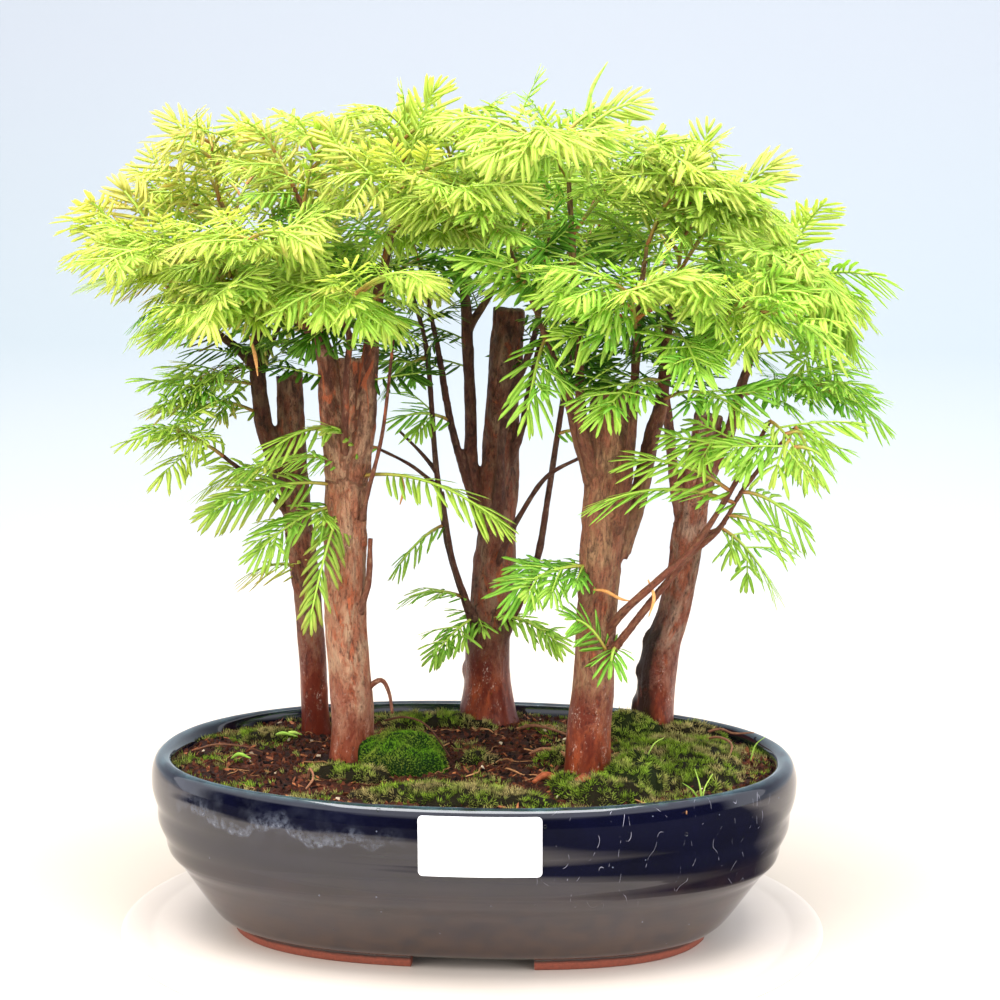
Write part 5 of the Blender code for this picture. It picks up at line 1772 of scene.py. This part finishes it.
@dataclass
class Foliage:
    """The leaves of one tree: fronds along each of its shoots, and shaded ones inside."""

    tree: str
    tone: float
    blush: float
    seed: int
    needle: float = 12.0
    needle_width: float = 1.78
    pitch: float = 3.7
    side_pitch: float = 10.4
    branches: tuple = ((0.22, -1), (0.36, 1), (0.48, -1), (0.62, 1), (0.76, -1))
    inner_pitch: float = 10.0
    inner_from: float = 232.0
    crown_top: float = 352.0
    crown_width: float = 165.0
    crown_depth: float = 102.0
    # How far the crown's top falls towards its ends, its front and back, and its right
    end_fall: float = 60.0
    side_fall: float = 20.0
    right_fall: float = 0.22
    crown_lump: float = 16.0
    stray: float = 0.22
    ahead_bow: float = 0.26
    down_bow: float = 0.22
    uneven_tone: float = 0.14
    inner_shade: float = 0.34
    windows: tuple = ((-14.0, 24.0, 195.0, 275.0, 66.0), (-94.0, -70.0, 200.0, 236.0, 34.0),
                      (-62.0, -38.0, 195.0, 246.0, -6.0), (46.0, 74.0, 196.0, 222.0, -34.0))

    def __post_init__(self) -> None:
        """Start with no ribs."""
        self.draw = random.Random(self.seed).uniform
        self.points: list[Vector] = []
        self.edges: list[tuple[int, int]] = []
        self.values: dict[str, list] = {name: [] for name in (
            "ahead", "upper", "reach", "width", "out", "on", "droop", "bow", "radius", "tone",
            "blush", "woody")}

    def rib(self, places: Sequence[Vector], upper: Vector, bare: int, reach: float, tone: float,
            hold: Hold) -> None:
        """Lay one rib, with a pair of needles at each place past its bare part.

        Args:
            places: where the pairs sit, from its foot to its tip.
            upper: the way that its upper side faces.
            bare: how many of the places hold no needles.
            reach: how long its longest needles are.
            tone: its colour, from 0 in the shade to 1 in the sun.
            hold: whether it is a shoot's own stem or a frond.
        """
        first, last = len(self.points), len(places) - 1
        warm = 1.0 if self.draw(0.0, 1.0) < 0.14 else 0.16
        thick, thin = (0.85, 0.42) if hold is Hold.STEM else (0.46, 0.24)
        for at, place in enumerate(places):
            ahead = (places[min(at + 1, last)] - places[max(at - 1, 0)]).normalized()
            side = ahead.cross(upper).normalized()
            face = side.cross(ahead)
            share = (at - bare) / max(1, last - bare)
            lean = math.radians(60.0 - 34.0 * max(share, 0.0) ** 1.2) * self.draw(0.85, 1.15)
            if at == last:
                lean = math.radians(12.0)
            swell = 0.62 + 0.38 * math.sin(math.pi * min(1.0, 0.10 + 0.72 * max(share, 0.0)))
            swell *= 1.0 - 0.25 * max(0.0, (share - 0.75) / 0.25)
            length = reach * swell * self.draw(0.86, 1.08) if at >= bare else 0.0
            row = {
                "ahead": ahead, "upper": face, "reach": length * MM,
                "width": self.needle_width * (0.72 + 0.28 * swell) * MM,
                "out": math.sin(lean), "on": math.cos(lean),
                "droop": 0.10 + 0.14 * (1.0 - max(share, 0.0)),
                "bow": (ahead * self.ahead_bow - UP * self.down_bow) * length * MM,
                "radius": (thick + (thin - thick) * at / last) * MM,
                "tone": min(1.0, max(0.0, tone + self.draw(-0.05, 0.05) + 0.10 * max(share, 0.0))),
                "blush": self.blush * warm * self.draw(0.5, 1.0),
                "woody": max(0.0, 1.0 - 2.2 * at / last) if hold is Hold.STEM else 0.0,
            }
            self.points.append(place)
            for name, value in row.items():
                self.values[name].append(value)
            if at:
                self.edges.append((first + at - 1, first + at))

    def frond(self, start: Vector, heading: Vector, upper: Vector, length: float, tone: float) -> None:
        """Lay one frond that bows under its own weight.

        Args:
            start: its foot.
            heading: the way it sets out.
            upper: the way that its upper side faces.
            length: how long it is.
            tone: its colour, from 0 in the shade to 1 in the sun.
        """
        heading.z *= 0.6
        heading = self.kept_in(start, heading.normalized(), length)
        if self.in_window(start + heading * length) or self.in_window(start + heading * length * 0.5):
            return
        sag = self.draw(0.002, 0.014)
        swerve = self.draw(-0.006, 0.006)
        way, place = heading.normalized(), start.copy()
        places, run = [place.copy()], 0.0
        while run < length:
            step = self.pitch * (1.0 - 0.42 * (run / length) ** 2)
            side = way.cross(upper).normalized()
            way = (way - UP * sag * step + side * swerve * step).normalized()
            place += way * step
            run += step
            places.append(place.copy())
        reach = self.needle * min(1.3, 0.62 + 0.014 * length) * self.draw(0.85, 1.15)
        self.rib(places, upper, 1, reach, tone, Hold.FROND)

    def kept_in(self, start: Vector, heading: Vector, length: float) -> Vector:
        """Turn a frond back where it would stand out of the crown.

        Args:
            start: its foot.
            heading: the way it sets out.
            length: how long it is.
        Returns:
            The way that it takes instead.
        """
        end = start + heading * length
        top = (self.crown_top - self.end_fall * ((end.x + 10.0) / 165.0) ** 4
               - self.side_fall * (end.y / 105.0) ** 2)
        top += (self.crown_lump * swell(end.x, end.y, 0.035, 3.0)
                - self.right_fall * max(0.0, end.x - 45.0))
        over = end.z - top - self.draw(-6.0, 2.0)
        turned = heading.copy()
        if over > 0.0:
            turned.z -= over / length
        for axis, limit in ((0, self.crown_width), (1, self.crown_depth)):
            past = abs(end[axis]) - limit
            if past > 0.0:
                turned[axis] -= math.copysign(past / length, end[axis])
        return turned.normalized()

    def in_window(self, place: Vector) -> bool:
        """Whether a frond there would hide what shows through the crown: a cut trunk or the light."""
        return any(left < place.x < right and low < place.z < high and place.y < back
                   for left, right, low, high, back in self.windows)

    def facing(self, place: Vector, wild: float = 0.48) -> Vector:
        """Which way a frond's upper side faces there: to the sky, and out to the light.

        Args:
            place: where the frond is.
            wild: how uneven that is.
        Returns:
            The way up from it.
        """
        out = Vector((place.x, place.y, 0.0)) / 110.0
        stray = Vector([self.draw(-wild, wild) for _ in range(3)])
        return (UP * 0.9 + out * 0.35 + FRONT * 0.28 + stray).normalized()

    def light(self, place: Vector) -> float:
        """How sunny it is there, painted into the needles' tone from 0 to 1: lighter higher up and further
        out.

        Args:
            place: where a frond is.
        Returns:
            Its share of the light.
        """
        high = min(1.0, max(0.0, (place.z - 232.0) / 85.0, min(0.3, (225.0 - place.z) / 60.0)))
        out = math.hypot(place.x / 150.0, place.y / 100.0)
        uneven = self.draw(-self.uneven_tone, self.uneven_tone)
        return self.tone * (0.28 + 0.72 * high) + 0.22 * (out - 0.5) + uneven

    def shoot(self, shoot: Shoot, start: Vector) -> None:
        """Lay a shoot's stem, its end frond and the fronds along it.

        Args:
            shoot: where it starts and ends.
            start: its foot, on its limb.
        """
        tip = Vector(shoot.tip)
        chord = tip - start
        length = chord.length

        def place(share: float) -> Vector:
            """The point that far along the stem."""
            return start + chord * share + UP * 0.10 * length * 4.0 * share * (1.0 - share)

        single = shoot.sides == ""
        full = shoot.sides == "LR"
        own = min(length, 34.0 if full else 62.0 if single else 44.0)
        self.stem(place, length, own, self.light(tip), 1.0 if full else shoot.size * (1.0 + own / 200.0))
        if single:
            return
        self.flank(place, length, max(8.0, length - (80.0 if full else 30.0)),
                   29.0 if full else 17.0 * shoot.size)
        for share, hand in self.branches if full else ():
            if share * length < 9.0:
                continue
            forward = (place(share + 0.05) - place(share - 0.05)).normalized()
            side = forward.cross(UP if abs(forward.z) < 0.85 else FRONT).normalized() * hand
            angle = math.radians(50.0 + self.draw(-10.0, 10.0))
            way = forward * math.cos(angle) + side * math.sin(angle)
            way += Vector([self.draw(-0.28, 0.28) for _ in range(3)]) + UP * 0.10
            size = min(36.0, 0.55 * length) * self.draw(0.8, 1.1)
            foot = place(share)
            run = self.kept_in(foot, way.normalized(), size + 8.0) * size

            def branch(part: float, foot: Vector = foot, run: Vector = run, size: float = size) -> Vector:
                """The point that far along a side branch."""
                return foot + run * part + UP * 0.12 * size * 4.0 * part * (1.0 - part)

            self.stem(branch, size, size * 0.5, self.light(foot + run), 0.92)
            self.flank(branch, size, 6.0, 21.0)

    def stem(self, place: Callable[[float], Vector], length: float, own: float, tone: float,
             size: float) -> None:
        """Lay a stem whose end is a frond.

        Args:
            place: the point at each share of its length.
            length: how long it is.
            own: how much of its end holds needles.
            tone: its colour.
            size: how large its needles are.
        """
        places, run = [], 0.0
        while run < length:
            places.append(place(run / length))
            run += self.pitch * (1.0 - 0.35 * (run / length) ** 2)
        tip = place(1.0)
        places.append(tip)
        bare = sum(1 for spot in places if (tip - spot).length > own)
        ahead = (tip - place(0.8)).normalized()
        upper = self.facing(tip) if abs(ahead.z) < 0.85 else FRONT + self.facing(tip) * 0.5
        self.rib(places, upper, bare, self.needle * size, tone, Hold.STEM)

    def flank(self, place: Callable[[float], Vector], length: float, begin: float, largest: float) -> None:
        """Lay a pair of fronds at every step along a stem, smaller towards its tip.

        Args:
            place: the point at each share of the stem's length.
            length: how long the stem is.
            begin: how far along the first pair is.
            largest: how long the first pair is.
        """
        run, roll = begin, self.draw(-0.9, 0.9)
        while run < length - 8.0:
            share = run / length
            grown_share = (run - begin) / max(1.0, length - begin)
            forward = (place(min(1.0, share + 0.05)) - place(share - 0.05)).normalized()
            steep = max(0.0, abs(forward.z) - 0.4) / 0.6
            side = forward.cross(UP if abs(forward.z) < 0.9 else FRONT).normalized()
            side = Matrix.Rotation(roll, 3, forward) @ side
            roll += steep * 1.9 + self.draw(-0.3, 0.3)
            for hand in (-1, 1):
                angle = math.radians(58.0 - 24.0 * grown_share + self.draw(-12.0, 12.0))
                way = forward * math.cos(angle) + side * (hand * math.sin(angle))
                way += UP * self.draw(-0.12, 0.22)
                spot = place(share) + forward * self.draw(-1.2, 1.2)
                size = largest * (1.0 - 0.5 * grown_share) * self.draw(0.7, 1.2)
                self.frond(spot, way, self.facing(spot), size, self.light(spot))
            run += self.side_pitch * self.draw(0.8, 1.25)

    def inner(self) -> None:
        """Lay the fronds along the limbs inside the crown, with painted shade: a darker tone."""
        for name, limb in TREES[self.tree].items():
            if name in ("trunk", "bare", "stub"):
                continue
            line = flowing(limb, 1.0)
            gap = self.draw(0.0, self.inner_pitch)
            for row, after in zip(line, line[1:]):
                gap -= 1.0
                if gap > 0.0 or row[2] < self.inner_from:
                    continue
                gap = self.inner_pitch * self.draw(0.7, 1.3)
                ahead = Vector(after[:3] - row[:3]).normalized()
                turn = self.draw(0.0, math.tau)
                side = Matrix.Rotation(turn, 3, ahead) @ ahead.orthogonal().normalized()
                spot = Vector(row[:3])
                for hand in (-1, 1):
                    way = side * hand + ahead * self.draw(0.25, 0.7) + UP * 0.15
                    self.frond(spot, way, self.facing(spot, 0.7), self.draw(16.0, 30.0),
                               self.light(spot) - self.inner_shade)

    def build(self, tree: NodeTree, needle: bpy.types.Object, nodes: Sequence[str],
              finishes: tuple[Material, Material]) -> None:
        """Make the leaves over their solids.

        Args:
            tree: the leafing nodes.
            needle: the needle that they repeat.
            nodes: the names of all the solids.
            finishes: the ribs' and the needles' materials.
        """
        for shoot in (Shoot(*row) for row in SHOOTS[self.tree]):
            line = flowing(TREES[self.tree][shoot.limb], 1.0)
            foot = line[min(len(line) - 1, round(shoot.along * (len(line) - 1)))]
            self.shoot(shoot, Vector(foot[:3]))
        self.inner()
        ribs = bpy.data.meshes.new(self.tree + " ribs")
        ribs.from_pydata([place * MM for place in self.points], self.edges, [])
        add_values(ribs, self.values)
        mesh = grown(tree, ribs, {
            "Needle": needle, "Rib sides": 4, "Unevenness": self.stray, "Seed": self.seed,
            "Rib finish": finishes[0], "Needle finish": finishes[1]})
        solids = [name for name in nodes if name.startswith(self.tree + "_shoot")]
        add_piece(self.tree + "_leaves", mesh, sorted(solids))


def scrap_mesh(scrap: Scrap) -> Mesh:
    """Make every small thing of one kind, thickest in its middle.

    Args:
        scrap: its lines and shades.
    Returns:
        The mesh, with its material.
    """
    points, faces, shades = [], [], []
    for number, line in enumerate(scrap.lines):
        add_skin(points, faces, *tube(flowing(line, 1.2), 6)[:2])
        shades += [0.6 + 0.4 * math.sin(2.4 * number)] * (len(points) - len(shades))
    mesh = mesh_of(scrap.name, points, faces, {"shade": shades})
    mesh.materials.append(Litter(scrap.name, scrap.dark, scrap.light, 0.6).make())
    return mesh


@dataclass(frozen=True)
class Paper:
    """Smooth white label paper, slightly satin, with a faint shadow of fibres."""

    white: str = "#f2f2f4"
    grey: str = "#dcdde2"

    def make(self) -> Material:
        """Build the paper's material.

        Returns:
            The material.
        """
        material, tree, shader = bare_finish("white label paper")
        place = node(tree, "ShaderNodeTexCoord").outputs["Object"]
        fibre = node(tree, "ShaderNodeTexNoise", {"Vector": place, "Scale": 1500.0, "Detail": 3.0})
        colour = painted(tree, self.white, ((fibre, self.grey),))
        bump = node(tree, "ShaderNodeBump", {"Strength": 0.15, "Distance": 0.0001, "Height": fibre})
        feed(tree, shader, {"Base Color": colour, "Normal": bump, "Roughness": 0.42})
        return material


@dataclass
class Label:
    """The blank paper label, with rounded corners, bent round the front wall."""

    form: PotForm
    paper: Paper
    width: float = 48.0
    centre: float = 13.0
    low: tuple = (135.8, 47.4)
    high: tuple = (138.2, 71.8)
    stand_off: float = 0.45
    thick: float = 0.55
    corner: float = 1.8

    def outline(self) -> list[tuple[float, float]]:
        """The label's outline from its middle: a rectangle with round corners.

        Returns:
            Points across and up, in order.
        """
        tall = self.high[1] - self.low[1]
        half, rise = self.width / 2 - self.corner, tall / 2 - self.corner
        edge = []
        for quarter, (sx, sy) in enumerate(((1, -1), (1, 1), (-1, 1), (-1, -1))):
            for step in range(7):
                turn = math.pi / 2 * (quarter - 1 + step / 6)
                edge.append((sx * half + self.corner * math.cos(turn),
                             sy * rise + self.corner * math.sin(turn)))
        whole = []
        for (x0, y0), (x1, y1) in zip(edge, edge[1:] + edge[:1]):
            count = max(1, round(math.hypot(x1 - x0, y1 - y0) / 3.0))
            whole += [(x0 + (x1 - x0) * k / count, y0 + (y1 - y0) * k / count) for k in range(count)]
        return whole

    def build(self) -> None:
        """Make the label over its solid."""
        edge = self.outline()
        rows = []
        for lift, shares in ((0.0, (0.0001, 0.4, 0.8, 1.0)), (self.thick, (1.0, 0.8, 0.4, 0.0001))):
            for share in shares:
                for across, rise in edge:
                    part = 0.5 + rise * share / (self.high[1] - self.low[1])
                    half_width = self.low[0] + part * (self.high[0] - self.low[0])
                    half_width += self.stand_off + lift
                    x = self.centre + across * share
                    z = self.low[1] + part * (self.high[1] - self.low[1])
                    rows.append((x, self.form.front(half_width, x), z))
        mesh = turned_outwards(mesh_of("label", rows, ring_faces(8, len(edge))))
        mesh.set_sharp_from_angle(angle=math.radians(40.0))
        mesh.materials.append(self.paper.make())
        add_piece("paper_label", mesh, ["label"])


@dataclass
class DrainScreens:
    """The squares of woven plastic mesh that keep the soil in over the drain holes."""

    size: float = 28.0
    cells: int = 16
    x: float = 48.0
    z: float = 11.8
    strand: float = 0.26
    wave: float = 0.22
    plastic: str = "#0c0c0c"
    dust: str = "#2c2620"

    def weaving(self) -> NodeTree:
        """Build the Geometry Nodes that turn a grid's lines into strands.

        Returns:
            The node tree.
        """
        tree, given = new_tree("Woven strands", {
            "Strand radius": "NodeSocketFloat", "Finish": "NodeSocketMaterial"})
        ring = node(tree, "GeometryNodeCurvePrimitiveCircle", {"Resolution": 5,
                                                               "Radius": given["Strand radius"]})
        lines = node(tree, "GeometryNodeMeshToCurve", {0: given["Base"]})
        woven = node(tree, "GeometryNodeCurveToMesh", {"Curve": lines, "Profile Curve": ring,
                                                       "Fill Caps": True})
        real = node(tree, "GeometryNodeRealizeInstances", {0: woven})
        done = node(tree, "GeometryNodeSetMaterial", {0: real, 2: given["Finish"]})
        node(tree, "NodeGroupOutput", {0: done})
        return tree

    def build(self) -> None:
        """Make both screens over their solids."""
        plastic, tree, shader = bare_finish("black polyethylene mesh")
        place = node(tree, "ShaderNodeTexCoord").outputs["Object"]
        dust = node(tree, "ShaderNodeTexNoise", {"Vector": place, "Scale": 300.0, "Detail": 3.0})
        colour = painted(tree, self.plastic, ((dust, self.dust),))
        feed(tree, shader, {"Base Color": colour, "Roughness": 0.5})
        weave = self.weaving()
        for name, side in (("left", -1), ("right", 1)):
            points, edges = [], []
            for line in range(self.cells + 1):
                for way in (0, 1):
                    first = len(points)
                    for step in range(self.cells + 1):
                        across = self.size * (line / self.cells - 0.5)
                        run = self.size * (step / self.cells - 0.5)
                        lift = self.wave * (1 if (line + step + way) % 2 else -1)
                        x, y = (run, across) if way else (across, run)
                        points.append((side * self.x + x * 0.98, y * 0.98, self.z + lift))
                    edges += [(first + step, first + step + 1) for step in range(self.cells)]
            grid = bpy.data.meshes.new("strand lines")
            grid.from_pydata([Vector(point) * MM for point in points], edges, [])
            mesh = grown(weave, grid, {"Strand radius": self.strand * MM, "Finish": plastic})
            add_piece(f"drain_mesh_{name}", mesh, [f"drain_screen_{name}"])


@dataclass
class Studio:
    """The camera, the soft lights, and the pale floor that curves up behind the forest."""

    focus: tuple = (10.8, 1.0, 181.5)
    distance: float = 1000.0
    azimuth: float = 5.2
    elevation: float = 7.3
    roll: float = 0.3
    focal: float = 2370.0
    picture: float = 1000.0
    apron: float = 900.0
    bend_from: float = 500.0
    bend: float = 900.0
    disc_radius: float = 150.0
    disc_thick: float = 0.8
    floor: str = "#c1b5a8"
    disc: str = "#c6bbb2"
    middle: str = "#a6a8a8"
    haze: str = "#929a9e"
    wall: str = "#94999f"
    sky: str = "#f4f7ff"
    # gloom: the dark that the floor and the sky show to glossy rays only, a painted dark reflection in the
    # glaze
    gloom: str = "#14111b"

    def camera(self) -> None:
        """Put the camera where the photograph was taken from."""
        turn, tilt = math.radians(self.azimuth), math.radians(self.elevation)
        back = Vector((math.sin(turn) * math.cos(tilt), -math.cos(turn) * math.cos(tilt), math.sin(tilt)))
        right = UP.cross(back).normalized()
        axes = Matrix((right, back.cross(right), back)).transposed()
        lens = bpy.data.cameras.new("Camera")
        lens.sensor_width = 36.0
        lens.lens = self.focal / self.picture * lens.sensor_width
        lens.clip_start, lens.clip_end = 0.05, 20.0
        camera = in_scene(lens)
        spot = (Vector(self.focus) + back * self.distance) * MM
        camera.matrix_world = (Matrix.Translation(spot) @ axes.to_4x4()
                               @ Matrix.Rotation(math.radians(self.roll), 4, "Z"))
        bpy.context.scene.camera = camera

    def backdrop(self) -> None:
        """Make the floor: cream below, curving up to a pale blue wall."""
        drop, bend = self.disc_thick, self.bend
        profile = [(-self.apron, -drop), (self.bend_from, -drop)]
        profile += [(self.bend_from + bend * math.sin(t), bend - drop - bend * math.cos(t))
                    for t in np.linspace(0.0, math.pi / 2, 24)[1:]]
        profile.append((self.bend_from + bend, 3200.0))
        rows = [(x, y, z) for y, z in profile for x in (-3000.0, 3000.0)]
        faces = [(2 * at, 2 * at + 1, 2 * at + 3, 2 * at + 2) for at in range(len(profile) - 1)]
        material, tree, shader = bare_finish("paper backdrop")
        place = node(tree, "ShaderNodeTexCoord").outputs["Object"]
        height = node(tree, "ShaderNodeSeparateXYZ", {0: place}).outputs[2]
        rise = node(tree, "ShaderNodeMapRange", {"Value": height, "From Max": 0.9})
        ramp = node(tree, "ShaderNodeValToRGB", {0: rise}, stops=(
            (0.0, self.floor), (0.04, self.middle), (0.20, self.haze), (0.5, self.wall)))
        # Painted dark reflection: past the table's edge the floor turns dark for glossy rays only, so it
        # shows only in the glaze
        mirrored = node(tree, "ShaderNodeLightPath").outputs["Is Glossy Ray"]
        away = node(tree, "ShaderNodeVectorMath", {0: place, 1: (-0.12, 0.0, 0.0)},
                    operation="DISTANCE").outputs["Value"]
        depth = node(tree, "ShaderNodeSeparateXYZ", {0: place}).outputs[1]
        dark = shown(tree, Band(away, 0.225, 0.285), Band(depth, 0.10, 0.0), Band(mirrored, 0.0, 1.0))
        colour = painted(tree, ramp, ((dark, self.gloom),))
        feed(tree, shader, {"Base Color": colour, "Roughness": 0.9})
        mesh = mesh_of("backdrop", rows, faces)
        mesh.materials.append(material)
        in_scene(mesh, "Backdrop")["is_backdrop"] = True

    def turntable(self) -> None:
        """Make the low white disc that the pot stands on, with a groove near its edge."""
        rim, low = self.disc_radius, -self.disc_thick
        profile = [(rim - 0.2, low), (rim, low + 0.2), (rim - 0.8, -0.2), (rim - 3.0, 0.0), (rim - 12.0, 0.0),
                   (rim - 13.5, -0.25), (rim - 15.0, 0.0), (rim - 60.0, 0.0)]
        sides = 180
        turns = [math.tau * step / sides for step in range(sides)]
        rows = [(radius * math.cos(t), radius * math.sin(t), z) for radius, z in profile for t in turns]
        mesh = mesh_of("turntable", rows, ring_faces(len(profile), sides))
        mesh.set_sharp_from_angle(angle=math.radians(50.0))
        material, tree, shader = bare_finish("white turntable plastic")
        place = node(tree, "ShaderNodeTexCoord").outputs["Object"]
        dust = node(tree, "ShaderNodeTexNoise", {"Vector": place, "Scale": 30.0, "Detail": 5.0})
        colour = painted(tree, self.floor, ((dust, self.disc),))
        feed(tree, shader, {"Base Color": colour, "Roughness": 0.5})
        mesh.materials.append(material)
        in_scene(mesh, "Turntable")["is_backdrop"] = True

    def lights(self) -> None:
        """Hang the soft boxes and the pale sky."""
        boxes = (
            ("Overhead box", (0.0, -0.25, 1.25), (0.0, 0.0, 0.15), (1.3, 0.9), 32.0, "#ffffff"),
            ("Left box", (-1.1, -1.1, 0.75), (0.0, 0.0, 0.18), (1.4, 1.1), 28.0, "#fffaf2"),
            ("Right box", (1.2, -0.8, 0.65), (0.0, 0.0, 0.18), (1.3, 1.1), 26.0, "#f4f8ff"),
            ("Wall box", (0.0, 0.5, 1.9), (0.0, 1.4, 0.4), (2.2, 0.8), 8.0, "#f4f9ff"),
        )
        for name, spot, target, size, power, colour in boxes:
            lamp = bpy.data.lights.new(name, "AREA")
            lamp.shape, lamp.size, lamp.size_y = "RECTANGLE", *size
            lamp.energy = power
            lamp.color = shade(colour)[:3]
            holder = in_scene(lamp)
            holder.location = spot
            holder.visible_glossy = name not in ("Left box", "Right box")
            holder.rotation_euler = (Vector(spot) - Vector(target)).to_track_quat("Z", "Y").to_euler()
        bpy.context.scene.view_settings.view_transform = "Standard"
        world = bpy.data.worlds.new("Studio air")
        world.use_nodes = True
        tent = world.node_tree
        sky = tent.nodes["Background"]
        sky.inputs["Strength"].default_value = 1.5
        # A light tent, white all round, whose dark opening towards the camera shows only in the gloss
        way = node(tent, "ShaderNodeSeparateXYZ", {0: node(tent, "ShaderNodeTexCoord").outputs["Generated"]})
        mirrored = node(tent, "ShaderNodeLightPath").outputs["Is Glossy Ray"]
        opening = shown(tent, Band(way.outputs[1], 0.05, -0.15), Band(way.outputs[2], 0.46, 0.30),
                        Band(mirrored, 0.0, 1.0))
        feed(tent, sky, {"Color": painted(tent, self.sky, ((opening, self.gloom),))})
        bpy.context.scene.world = world


def main() -> list[list[float]]:
    """Build the forest over its solids.

    Returns:
        The box of the solids.
    """
    logging.basicConfig(level=logging.INFO, format="%(name)s: %(message)s")
    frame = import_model()
    solid_box = [list(corner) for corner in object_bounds()]
    studio = Studio()
    studio.camera()
    form = PotForm()
    Pot(form, Glaze()).build()
    Label(form, Paper()).build()
    DrainScreens().build()
    strew = strewing()
    soil = Soil(form, Earth())
    top = soil.build(strew)
    MossCarpet(soil).build(strew, top)
    tan = Bark("tan redwood bark", "#a8674a", "#b59072", "#4f281c", "#b85c36", torn_and_shaded=0.8, damp_top=0.110)
    brown = Bark("brown redwood bark", "#865038", "#937050", "#3e2017", "#964a2d", torn_and_shaded=0.25, scurfy=0.6)
    red = Bark("red redwood bark", "#7c4430", "#866750", "#2e1610", "#a2502b", young="#46271e", scurfy=0.8)
    grey = Bark("grey redwood bark", "#84462f", "#967561", "#2c1a14", "#a0502f",
                painted_left_shade=0.95, scurfy=0.6, damp_top=0.118)
    trees = (
        Tree("left_rear", red, 3, slant=0.45),
        Tree("left_front", tan, 5, fissure=1.1, knots=(
            Knot(214.0, -1.2, 3.4, 2.2), Knot(164.0, -0.2, 2.6, 1.4))),
        Tree("centre_rear", red, 8, flare=0.25, lumps=1.0, knots=(
            Knot(94.0, 3.0, 3.6, 2.4), Knot(116.0, -0.2, 4.4, 2.6), Knot(131.0, 0.1, 3.0, 1.8),
            Knot(146.0, 2.8, 3.2, 1.6))),
        Tree("right_front", brown, 13, flare=0.0, fissure=0.9, knots=(
            Knot(71.0, -1.5, 3.6, 3.0), Knot(150.0, -2.4, 3.0, 1.2))),
        Tree("right_rear", grey, 17, flare=0.15, fissure=1.2, lumps=1.1, knots=(
            Knot(82.0, 2.9, 3.6, 2.2), Knot(98.0, 3.1, 3.0, 2.0), Knot(113.0, 2.8, 3.4, 2.0),
            Knot(131.0, 3.1, 3.0, 1.8), Knot(92.0, -0.6, 3.4, 1.0))),
    )
    for tree in trees:
        tree.build()
    leaf_tree, needle = leafing(), in_scene(needle_model())
    finishes = (Twiglets().make(), Needles().make())
    crowns = (
        Foliage("left_rear", 0.80, 0.55, 21), Foliage("left_front", 0.70, 0.40, 22),
        Foliage("centre_rear", 0.62, 0.20, 23), Foliage("right_front", 0.56, 0.14, 24),
        Foliage("right_rear", 0.53, 0.10, 25),
    )
    for crown in crowns:
        crown.build(leaf_tree, needle, sorted(frame["nodes"]), finishes)
    bpy.data.objects.remove(needle, do_unlink=True)
    add_piece("stray_scraps", joined("stray scraps", [scrap_mesh(scrap) for scrap in SCRAPS]))
    studio.backdrop()
    studio.turntable()
    studio.lights()
    return solid_box


if __name__ == "__main__":
    box = main()
